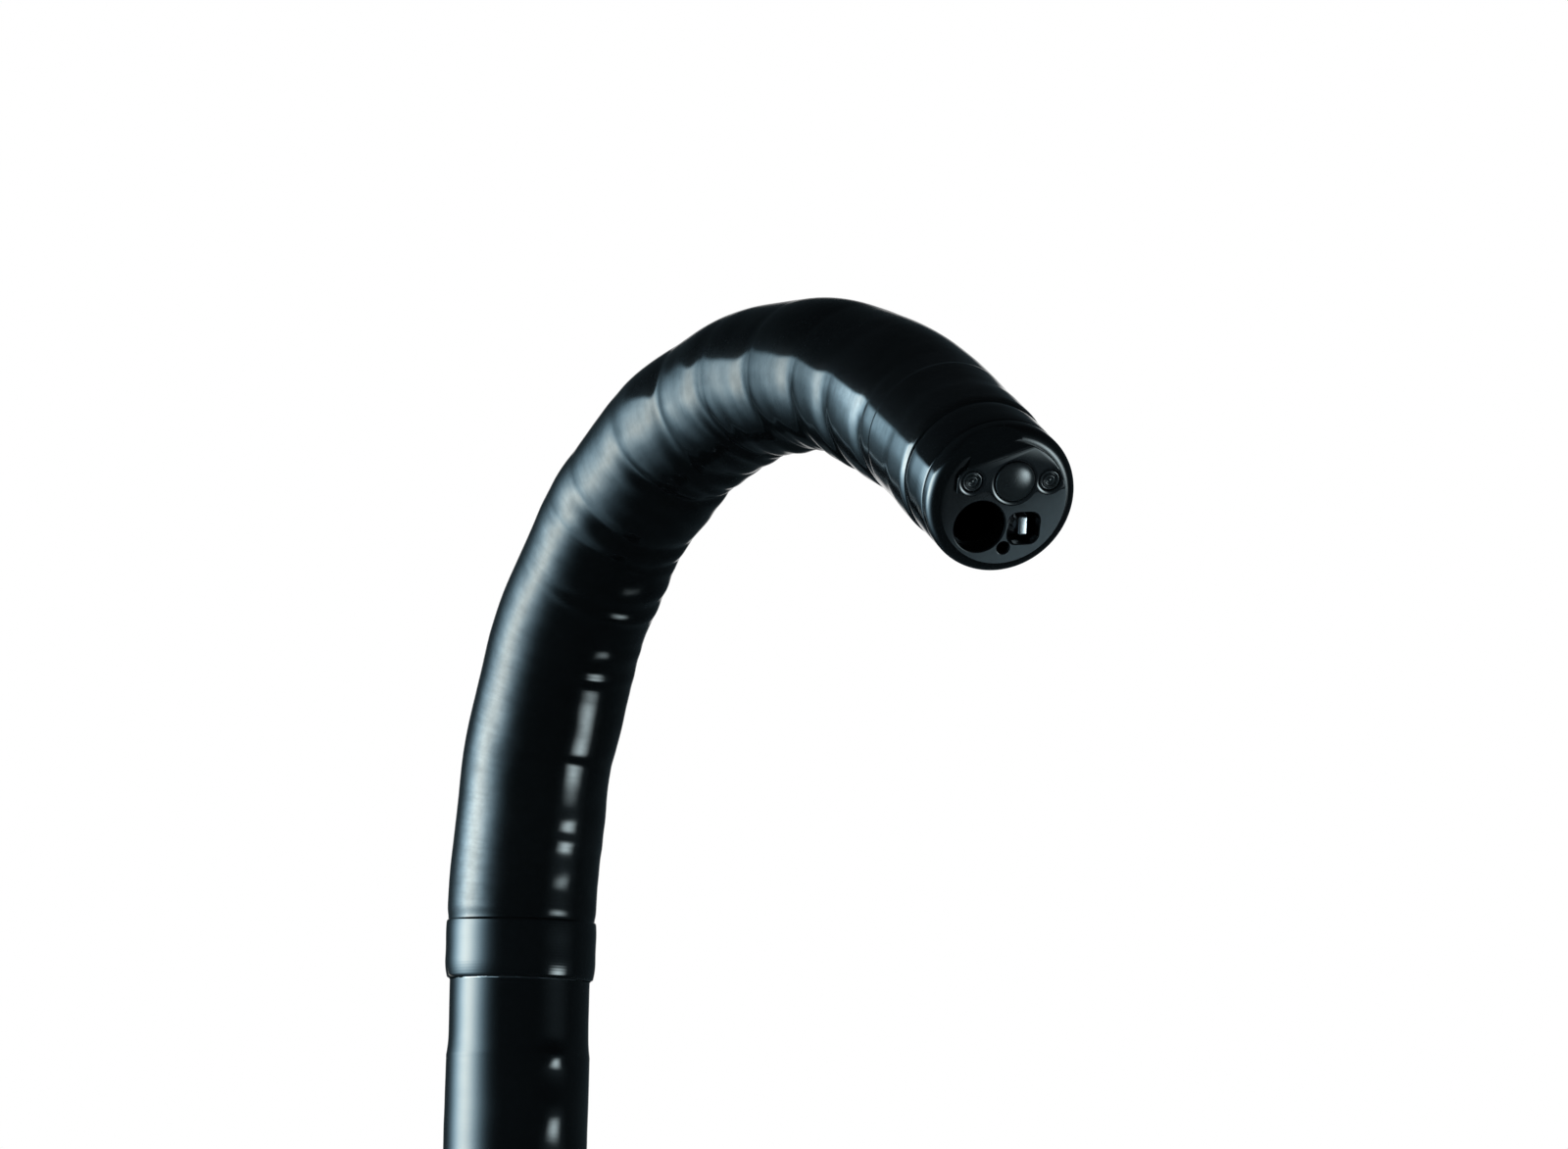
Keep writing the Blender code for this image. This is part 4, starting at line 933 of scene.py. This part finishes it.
tip = {
    "radius": 5.5565,
    "bodyRadius": 4.8965,
    "rim": 0.95,           # radius of the rounding at the face
    "backCorner": 0.2,
    "lowFace": -0.35,      # the face below the platform
    "discRear": -2.0,
    "skirtRear": -6.6,
    "skirtBore": 4.6465,
    "floor": -1.9,
    "chordDistance": 3.57,     # from the middle up to the flat cut above the lens
    "chordTilt": 18.5,         # degrees
    "chordSlope": 28,
    "edgeSlope": 9,        # of the narrow edge that breaks the corner below the cut
    "edgeBack": 0.17,      # and how far it reaches towards the middle
    "block": 14,           # size of the blocks that make both
    "platformEdge": 0.90,      # height of its lower edge between the lenses
    "platformLip": 0.38,       # what it leaves round each lens
    "platformRound": 0.20,
    "platformFoot": 0.3,       # how deep it is sunk in the face
    "platformInset": 0.06,
    "platformEnd": (128, 115),     # degrees: where it leaves the rim and joins the left light
    "lens": (0.55, 1.60),
    "lensRadius": 1.48,
    "lensRoom": 0.05,
    "lensRise": 0.38,
    "lensSeat": -0.9,
    "lensEdge": -0.03,
    "leftLight": (-2.65, 1.70),
    "rightLight": (3.20, 1.60),
    "lightRadius": 0.75,
    "lightRoom": 0.06,
    "channel": (-1.64, -1.86),
    "channelRadius": 1.90,
    "jet": (0.32, -3.55),
    "jetRadius": 0.42,
    "nozzle": (1.72, -2.12),
    "recessHalf": 1.18,
    "recessCorner": 0.72,
    "recessMouth": 0.05,
    "mouth": (0.13, 0.13),         # width and depth of the rounding at an opening,
    "seatMouth": (0.25, 0.085),    # and of the dished seal round the lens and the lights
}

# the name of its tool, where it sits, its radius and the room round it
lensAndLights = (
    ("lensTool", tip["lens"], tip["lensRadius"], tip["lensRoom"]),
    ("leftLightTool", tip["leftLight"], tip["lightRadius"], tip["lightRoom"]),
    ("rightLightTool", tip["rightLight"], tip["lightRadius"], tip["lightRoom"]),
)


def lowerEdge(across):
    # The scalloped edge of the platform: it dips round the lens and the two lights.
    height = tip["platformEdge"]
    for _, at, radius, _ in lensAndLights:
        reach = radius + tip["platformLip"]
        if abs(across - at[0]) < reach:
            height = min(height, at[1] - math.sqrt(reach ** 2 - (across - at[0]) ** 2))
    return height


def platformOutline():
    # Along the scalloped edge, back round the rim and down round the left light.
    edge = tip["radius"] - tip["rim"] - tip["platformInset"]
    left = tip["leftLight"][0] - tip["lightRadius"] - tip["platformLip"] + 0.01
    right = math.sqrt(edge ** 2 - tip["platformEdge"] ** 2) - 0.02
    count = 110
    points = []
    for k in range(count + 1):
        across = left + (right - left) * k / count
        points.append((across, lowerEdge(across)))
    for _ in range(5):          # softens the corners between the scallops
        middles = [(a + b) / 2 for (_, a), (_, b) in zip(points, points[2:])]
        points = [points[0]] + [(x, h) for (x, _), h in zip(points[1:-1], middles)] + [points[-1]]
    start = math.atan2(points[-1][1], points[-1][0])
    leaves, joins = [math.radians(degrees) for degrees in tip["platformEnd"]]
    points += arc((0, 0), edge, start, leaves, 39)[1:]
    reach = tip["lightRadius"] + tip["platformLip"]
    return points + arc(tip["leftLight"], reach, joins, math.pi, 11)


def arc(centre, radius, start, end, steps):
    angles = [start + (end - start) * k / steps for k in range(steps + 1)]
    return [(centre[0] + radius * math.cos(angle), centre[1] + radius * math.sin(angle))
            for angle in angles]


def toTip(right, up, forward):
    return Vector((-up, right, forward))


def platformTool():
    # Drawn flat, filled, drawn up and rounded along its top edge.
    bm = bmesh.new()
    foot = tip["lowFace"] - tip["platformFoot"]
    face = bm.faces.new([bm.verts.new(toTip(x, y, foot)) for x, y in platformOutline()])
    raised = bmesh.ops.extrude_face_region(bm, geom=[face])
    tops = [item for item in raised["geom"] if isinstance(item, bmesh.types.BMVert)]
    bmesh.ops.translate(bm, verts=tops, vec=(0, 0, -foot))
    bmesh.ops.recalc_face_normals(bm, faces=bm.faces)
    rim = [edge for edge in bm.edges if all(abs(vert.co.z) < 1e-5 for vert in edge.verts)]
    bmesh.ops.bevel(bm, geom=rim, offset=tip["platformRound"], segments=5, affect="EDGES",
                    profile=0.5, material=-1, clamp_overlap=True)
    return linkedObject(bm, "platformTool", None)


def chordBlock(name, slope, distance):
    # A block whose lower side slopes back from a chord at this distance above the middle.
    size = tip["block"]
    bm = bmesh.new()
    bmesh.ops.create_cube(bm, size=size)
    bmesh.ops.translate(bm, verts=bm.verts, vec=(-size / 2, 0, size / 2))
    lean = Matrix.Rotation(math.radians(-slope), 4, "Y")
    across = Matrix.Translation((-distance, 0, 0))
    tilt = Matrix.Rotation(math.radians(tip["chordTilt"]), 4, "Z")
    bm.transform(tilt @ across @ lean)
    return linkedObject(bm, name, None)


def holeTool(name, at, radius, mouthAt, mouth, sides=64):
    # A rod that flares at the face, so that the edge of the opening comes out rounded.
    wide, deep = mouth
    profile = [(0, tip["discRear"] - 1), (radius, tip["discRear"] - 1)]
    for k in range(9):
        angle = math.radians(10 * k)
        away, down = wide * (1 - math.cos(angle)), deep * (1 - math.sin(angle))
        profile.append((radius + away, mouthAt - down))
    profile += [(profile[-1][0], 1.5), (0, 1.5)]
    bm = turned(profile, sides)
    bmesh.ops.translate(bm, verts=bm.verts, vec=toTip(*at, 0))
    return linkedObject(bm, name, None)


def recessTool():
    # The rounded square round the nozzle, which flares where it opens.
    corner = tip["recessCorner"]
    flat = tip["recessHalf"] - corner
    outline = []
    for k in range(4):
        for step in range(9):
            angle = math.radians(90 * k + 90 * step / 8)
            side = math.radians(90 * k + 45)
            x = math.copysign(flat, math.cos(side)) + corner * math.cos(angle)
            y = math.copysign(flat, math.sin(side)) + corner * math.sin(angle)
            outline.append((tip["nozzle"][0] + x, tip["nozzle"][1] + y))
    bm = bmesh.new()
    below = tip["discRear"] - 1
    mouth = tip["recessMouth"]
    face = foot = bm.faces.new([bm.verts.new(toTip(x, y, below)) for x, y in outline])
    centre = toTip(*tip["nozzle"], 0)
    for rise, grow in ((tip["lowFace"] - mouth - below, 1.0), (2.2 * mouth, 1.13), (1.0, 1.0)):
        raised = bmesh.ops.extrude_face_region(bm, geom=[face])
        if face is not foot:
            bmesh.ops.delete(bm, geom=[face], context="FACES_ONLY")
        verts = [item for item in raised["geom"] if isinstance(item, bmesh.types.BMVert)]
        face = [item for item in raised["geom"] if isinstance(item, bmesh.types.BMFace)][0]
        bmesh.ops.translate(bm, verts=verts, vec=(0, 0, rise))
        for vert in verts:
            vert.co.x = centre.x + (vert.co.x - centre.x) * grow
            vert.co.y = centre.y + (vert.co.y - centre.y) * grow
    bmesh.ops.recalc_face_normals(bm, faces=bm.faces)
    return linkedObject(bm, "recessTool", None)


def moulded(name):
    # The cap before anything is cut: a disc with a rounded rim and a skirt behind it.
    radius, rim, low, corner = tip["radius"], tip["rim"], tip["lowFace"], tip["backCorner"]
    profile = [(0, tip["floor"]), (tip["skirtBore"], tip["floor"]),
               (tip["skirtBore"], tip["skirtRear"]), (tip["bodyRadius"], tip["skirtRear"]),
               (tip["bodyRadius"], tip["discRear"])]
    profile += rounded(radius - corner, tip["discRear"] + corner, corner, -1)
    profile += [(radius, low - rim - 0.3)]
    profile += rounded(radius - rim, low - rim, rim, 0, 14)
    profile += [(radius - rim - 0.35, low + 0.004), (0, low + 0.02)]
    return linkedObject(turned(profile, 128), name, None)


def onSeal(point):
    # Whether a point of the cap is on the cement round the lens or one of the lights.
    for _, at, radius, room in lensAndLights:
        away = (Vector((point.x, point.y)) - Vector((-at[1], at[0]))).length - radius - room
        if point.z > -0.3 and away < tip["seatMouth"][0] - 0.015:
            return True
    return False


def tipCap():
    cap = moulded("capMoulding")
    carve(cap, [platformTool()], "UNION")
    low, mouth = tip["lowFace"], tip["mouth"]
    tools = [
        chordBlock("slopeTool", tip["chordSlope"], tip["chordDistance"]),
        chordBlock("edgeTool", tip["edgeSlope"], tip["chordDistance"] - tip["edgeBack"]),
        recessTool(),
    ]
    for name, at, radius, room in lensAndLights:
        tools.append(holeTool(name, at, radius + room, 0, tip["seatMouth"]))
    tools.append(holeTool("channelTool", tip["channel"], tip["channelRadius"], low, mouth, 96))
    tools.append(holeTool("jetTool", tip["jet"], tip["jetRadius"], low, mouth))
    carve(cap, tools)
    cap.data.materials.clear()
    for finish in ("cap", "ground", "seal"):
        cap.data.materials.append(finishes[finish])
    for face in cap.data.polygons:
        if onSeal(face.center):
            face.material_index = 2
        # the flat faces take the ground finish, with its painted sheen and painted shade
        elif face.normal.z > math.cos(math.radians(4)):
            face.material_index = 1
    cap.data.transform(tipPlace())
    cap.data.shade_smooth()
    cap.data.set_sharp_from_angle(angle=math.radians(24))
    return cap


cap = tipCap()
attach(cap, "tip")
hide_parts("tip_cap")
print("cap ready")

tipBinding = {
    "rear": -5.8,
    "front": -2.03,
    "radius": 5.5565,
    "corner": 0.22,
    "valley": 0.0,
    "rearFall": 0.10,
    "frontFall": 0.08,
    "shoulder": 1.3,
    "bore": 4.95,
    "sides": 112,
}


def frontBand():
    bm = turned(bandProfile(tipBinding), tipBinding["sides"], closed=True)
    heightUv(bm, tipBinding["rear"], tipBinding["front"])
    bm.transform(tipPlace())
    return linkedObject(bm, "tipBinding", tipResin, 50)


wound = frontBand()
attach(wound, "tip")
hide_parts("tip_band")


def domedLens():
    radius, top, seat, edge = [tip[f"lens{size}"] for size in ("Radius", "Rise", "Seat", "Edge")]
    profile = [(0, seat), (radius, seat), (radius, edge)]
    for degrees in range(4, 90, 5):
        angle = math.radians(degrees)
        profile.append((radius * math.cos(angle), edge + (top - edge) * math.sin(angle)))
    profile.append((0, top))
    bm = turned(profile, 80)
    bm.transform(tipPlace(tip["lens"]))
    return linkedObject(bm, "objectiveDome", finishes["glass"], 40)


dome = domedLens()
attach(dome, "tip")
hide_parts("objective_lens")


# A ringed window, from its foot to its middle: (share of the radius, height)
windowRings = (
    (0, -1.02), (1, -1.02), (1, -0.14), (0.96, -0.06), (0.90, -0.02), (0.83, -0.02), (0.77, -0.07),
    (0.72, -0.17), (0.66, -0.22), (0.59, -0.19), (0.54, -0.10), (0.49, -0.05), (0.43, -0.04),
    (0.37, -0.08), (0.32, -0.17), (0.26, -0.18), (0.20, -0.11), (0.12, -0.07), (0, -0.055),
)


def lightWindow(side, at):
    # A flat rim, two grooves and a small dome, as the light guides' lenses have.
    bm = turned([(share * tip["lightRadius"], height) for share, height in windowRings], 56)
    bm.transform(tipPlace(at))
    return linkedObject(bm, f"lightWindow_{side}", finishes["window"], 60)


for side, at in (("left", tip["leftLight"]), ("right", tip["rightLight"])):
    window = lightWindow(side, at)
    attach(window, "tip")
    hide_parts(f"light_lens_{side}")


nozzle = {
    "width": 0.70,
    "height": 1.34,
    "forward": 0.14,     # how far the hood stands off its post towards the lens
    "deep": 1.10,
    "top": -0.47,
    "lean": 10.5,        # degrees that the top faces up towards the lens
    "crown": 2.6,        # radius of the top across
    "corner": 0.17,
    "rim": 0.13,
    "slices": 12,        # that the top is curved in
    # the round post: (radius, height)
    "post": ((0, -5.5), (0.85, -5.5), (0.85, -1.95), (0.55, -1.9), (0.50, -1.2), (0, -1.2)),
    "slot": (0.9, 0.44, 0.2),        # down, across and forward
    "slotAt": (-0.8, 0, -0.98),
}


def nozzleHood():
    # A leaning hood on a round post, open towards the lens.
    n = nozzle
    hood = linkedObject(turned(n["post"], 48), "nozzleHood", None)
    bm = bmesh.new()
    bmesh.ops.create_cube(bm, size=1)
    bmesh.ops.scale(bm, verts=bm.verts, vec=(n["height"], n["width"], n["deep"]))
    upright = [edge for edge in bm.edges
               if abs(edge.verts[0].co.z - edge.verts[1].co.z) > 0.5 * n["deep"]]
    bmesh.ops.bevel(bm, geom=upright, offset=n["corner"], segments=6, affect="EDGES",
                    profile=0.5, material=-1, clamp_overlap=True)
    rim = [edge for edge in bm.edges if all(vert.co.z > 0 for vert in edge.verts)]
    bmesh.ops.bevel(bm, geom=rim, offset=n["rim"], segments=5, affect="EDGES",
                    profile=0.5, material=-1, clamp_overlap=True)
    half = n["slices"] // 2
    for step in range(1 - half, half):
        across = step * n["width"] / n["slices"]
        geom = bm.verts[:] + bm.edges[:] + bm.faces[:]
        bmesh.ops.bisect_plane(bm, geom=geom, dist=1e-5, plane_co=(0, across, 0),
                               plane_no=(0, 1, 0))
    lean = math.tan(math.radians(n["lean"]))
    for vert in bm.verts:
        if vert.co.z > 0:
            vert.co.z += lean * vert.co.x - vert.co.y ** 2 / (2 * n["crown"])
    bmesh.ops.translate(bm, verts=bm.verts, vec=(-n["forward"], 0, n["top"] - n["deep"] / 2))
    slot = bmesh.new()
    bmesh.ops.create_cube(slot, size=1)
    bmesh.ops.scale(slot, verts=slot.verts, vec=n["slot"])
    bmesh.ops.translate(slot, verts=slot.verts, vec=n["slotAt"])
    carve(hood, [linkedObject(bm, "hoodTool", None)], "UNION")
    carve(hood, [linkedObject(slot, "slotTool", None)])
    hood.data.transform(tipPlace(tip["nozzle"]))
    hood.data.materials.clear()
    hood.data.materials.append(finishes["steel"])
    hood.data.shade_smooth()
    hood.data.set_sharp_from_angle(angle=math.radians(35))
    return hood


hood = nozzleHood()
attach(hood, "tip")
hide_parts("air_water_nozzle")
print("tip ready")


# Finishes for the CAD nodes that stay

slots = {row["node"]: row["material_slot"] for row in frame["record"]["subparts"]}
# these pieces lie deep in the tip and take the steel coloured dark as painted shade
deep = ("channel_sleeve", "water_jet_pipe", "tip_body", "lens_barrel")
finishes["binding"] = tipResin
for name, obj in nodes.items():
    obj.data.materials.clear()
    obj.data.materials.append(finishes["shadow" if name in deep else slots[name]])


# Camera, lights and background

camera = {
    "place": (0.64527, -0.62589, -0.02578),
    "turn": (95.143, -1.483, 44.528),
    "lens": 275.4,
}

lens = bpy.data.cameras.new("camera")
lens.lens = camera["lens"]
lens.sensor_width = 36
lens.clip_start = 0.01
cameraObject = bpy.data.objects.new("camera", lens)
cameraObject.location = camera["place"]
cameraObject.rotation_euler = [math.radians(angle) for angle in camera["turn"]]
bpy.context.scene.collection.objects.link(cameraObject)
bpy.context.scene.camera = cameraObject
bpy.context.scene.view_settings.view_transform = "Standard"
bpy.context.view_layer.update()

studio = {
    "centre": (0.03, -0.004, 0.045),
    "keyDistance": 0.30,
    "keyAcross": (-165, -34),      # degrees round from the camera, left is negative
    "keyUp": (-62, 24),
    "keyMiddle": -95,
    "keySpread": (14.5, 16.5),     # towards the back and towards the camera
    "keyWiden": 2,                 # what its upper part spreads more towards the back
    "keyWidens": (3, 12),          # degrees up
    "keyPeak": 14.5,
    # how much of the light is left, by the degrees up
    "keyFade": ((-50, 0.02), (-38, 0.07), (-28, 0.15), (-18, 0.32), (-9, 0.66), (-1, 1.0),
                (19, 0.9), (22, 0.0)),
    "keyTint": ((0.60, 1.0, 1.26), (0.86, 1.0, 1.01)),      # of its faint and of its full light
    "spotDistance": 1.5,
    "spotAcross": (43, 81),
    "spotUp": (-38, -3),
    "spotPeak": 10.5,
    "spotTint": (0.82, 1.0, 1.05),
    "haloAcross": (30, 96),
    "haloUp": (-50, 20),
    "haloPeak": 0.30,
    "haloTint": (0.72, 1.0, 1.15),
    "stripAcross": (-151, -145),
    "stripUp": (-30, -4),
    "stripPeak": 1.6,
    "stripTint": (1.0, 0.98, 0.85),
}
right, up, toward = [cameraObject.matrix_world.to_3x3().col[k].copy() for k in range(3)]


def studioDirection(across, rise):
    # The direction this many degrees round from the camera and above its level.
    a, b = math.radians(across), math.radians(rise)
    return math.cos(b) * (math.sin(a) * right + math.cos(a) * toward) + math.sin(b) * up


def panel(name, across, rise, distance, material):
    # A sheet bent round the object, lit on its inside, that the camera doesn't see.
    bm = bmesh.new()
    bm.loops.layers.uv.new("UVMap")
    bmesh.ops.create_grid(bm, x_segments=24, y_segments=16, size=0.5, calc_uvs=True)
    for vert in bm.verts:
        a = across[0] + (across[1] - across[0]) * (vert.co.x + 0.5)
        b = rise[0] + (rise[1] - rise[0]) * (vert.co.y + 0.5)
        vert.co = Vector(studio["centre"]) + distance * studioDirection(a, b)
    obj = linkedObject(bm, name, material)
    obj.visible_camera = False
    return obj


def panelMaterial(name):
    material = bpy.data.materials.new(name)
    material.use_nodes = True
    tree = material.node_tree
    tree.nodes.clear()
    uv = addNode(tree, "ShaderNodeUVMap")
    u, v = [addNode(tree, "ShaderNodeSeparateXYZ", {}, {"Vector": uv}, axis) for axis in "XY"]
    return material, tree, u, v


def glow(tree, colour, level):
    # The sheet glows and lets everything behind it through, so that a faded edge isn't dark.
    emission = addNode(tree, "ShaderNodeEmission", {}, {"Color": colour, "Strength": level})
    clear = addNode(tree, "ShaderNodeBsdfTransparent")
    both = addNode(tree, "ShaderNodeAddShader", {}, {0: emission, 1: clear})
    addNode(tree, "ShaderNodeOutputMaterial", {}, {"Surface": both}, None)


def scaledColour(tree, colour, level):
    values = {"Vector": colour, "Scale": level}
    return addNode(tree, "ShaderNodeVectorMath", {"operation": "SCALE"}, values)


def keyMaterial():
    # Bright across its middle, cut off sharply along the top and fading downwards.
    material, tree, u, v = panelMaterial("keyLight")
    low, high = studio["keyAcross"]
    offset = u * (high - low) + (low - studio["keyMiddle"])
    back, near = studio["keySpread"]
    bottom, top = studio["keyUp"]

    def share(degrees):
        return (degrees - bottom) / (top - bottom)

    begins, ends = studio["keyWidens"]
    values = {"Value": v, "From Min": share(begins), "From Max": share(ends),
              "To Max": studio["keyWiden"]}
    rise = addNode(tree, "ShaderNodeMapRange", {"interpolation_type": "SMOOTHSTEP"}, values)
    values = {"Value": offset, "From Min": -1, "From Max": 1, "To Min": back + rise,
              "To Max": near}
    across = offset / addNode(tree, "ShaderNodeMapRange", {}, values)
    level = math.e ** (across * across * -0.5)
    stops = [(0.0, 0.0)] + [(share(degrees), left) for degrees, left in studio["keyFade"]]
    fade = addNode(tree, "ShaderNodeValToRGB", {"stops": stops}, {"Fac": v})
    level = level * fade
    tint = mixColour(tree, level, *studio["keyTint"])
    glow(tree, scaledColour(tree, tint, level), studio["keyPeak"])
    return material


def softMaterial(name, colour, level, edge):
    # An even glow that fades over this share of its width at each side.
    material, tree, u, v = panelMaterial(name)
    settings = {"interpolation_type": "SMOOTHSTEP"}
    fades = 1
    for wire in (u, 1 - u, v, 1 - v):
        values = {"Value": wire, "From Max": edge}
        fades = fades * addNode(tree, "ShaderNodeMapRange", settings, values)
    glow(tree, scaledColour(tree, colour, fades), level)
    return material


panel("keyPanel", studio["keyAcross"], studio["keyUp"], studio["keyDistance"], keyMaterial())
for light, further, edge in (("spot", 1, 0.5), ("halo", 1.05, 0.5), ("strip", 1, 0.4)):
    glowing = softMaterial(f"{light}Light", studio[f"{light}Tint"], studio[f"{light}Peak"], edge)
    panel(f"{light}Panel", studio[f"{light}Across"], studio[f"{light}Up"],
          further * studio["spotDistance"], glowing)

floor = {
    "below": 0.3 * mm,         # under the rear ferrule
    "radius": 0.24,
    "pale": (0.80, 0.81, 0.81),
    "paler": (0.84, 0.84, 0.83),
}


def paleFloor():
    # A round sheet under the ferrule, out of the camera's view. Gloss sees the room instead.
    bm = bmesh.new()
    bmesh.ops.create_circle(bm, cap_ends=True, segments=96, radius=floor["radius"])
    bmesh.ops.translate(bm, verts=bm.verts, vec=(0, 0, -floor["below"]))
    made, tree, shader = newMaterial("paleSheet", {"Specular IOR Level": 0.2})
    fibres = cloud(tree, scaledPlace(tree), 0.4, 5.0)
    colour = mixColour(tree, fibres, floor["pale"], floor["paler"])
    feed(tree, shader, Base_Color=colour, Roughness=0.7 + 0.2 * fibres)
    obj = linkedObject(bm, "floor", made)
    obj.visible_glossy = False


paleFloor()

surroundings = {
    "white": (1.0, 1.0, 1.0),
    "room": (0.036, 0.054, 0.064),
    "ceiling": (0.016, 0.022, 0.026),
    "fill": (0.40, 0.40, 0.40),
    "behindFrom": 0.958,       # cosine from straight behind the object, where the sheet begins
    "behindFull": 0.997,
    "ceilingFrom": 0.2,        # and from straight up
    "ceilingFull": 0.75,
}


def studioWorld():
    # The camera sees white. The object's gloss shows the white sheet behind it and an
    # otherwise dark room.
    world = bpy.data.worlds.new("studio")
    world.use_nodes = True
    bpy.context.scene.world = world
    tree = world.node_tree
    background = tree.nodes["Background"]
    place = addNode(tree, "ShaderNodeTexCoord", output="Generated")

    def seenBy(ray):
        return addNode(tree, "ShaderNodeLightPath", output=f"Is {ray} Ray")

    def towards(direction):
        settings = {"operation": "DOT_PRODUCT"}
        return addNode(tree, "ShaderNodeVectorMath", settings, {0: place, 1: direction}, 1)

    def step(value, start, end):
        values = {"Value": value, "From Min": start, "From Max": end}
        return addNode(tree, "ShaderNodeMapRange", {"interpolation_type": "SMOOTHSTEP"}, values)

    s = surroundings
    behind = step(towards(tuple(-toward)), s["behindFrom"], s["behindFull"])
    above = step(towards((0, 0, 1)), s["ceilingFrom"], s["ceilingFull"])
    room = mixColour(tree, above, s["room"], s["ceiling"])
    seen = mixColour(tree, behind, room, s["white"])
    lit = mixColour(tree, seenBy("Glossy") + seenBy("Transmission"), s["fill"], seen)
    feed(tree, background, Color=mixColour(tree, seenBy("Camera"), lit, s["white"]))
    background.inputs["Strength"].default_value = 1.0


studioWorld()
print("studio ready")
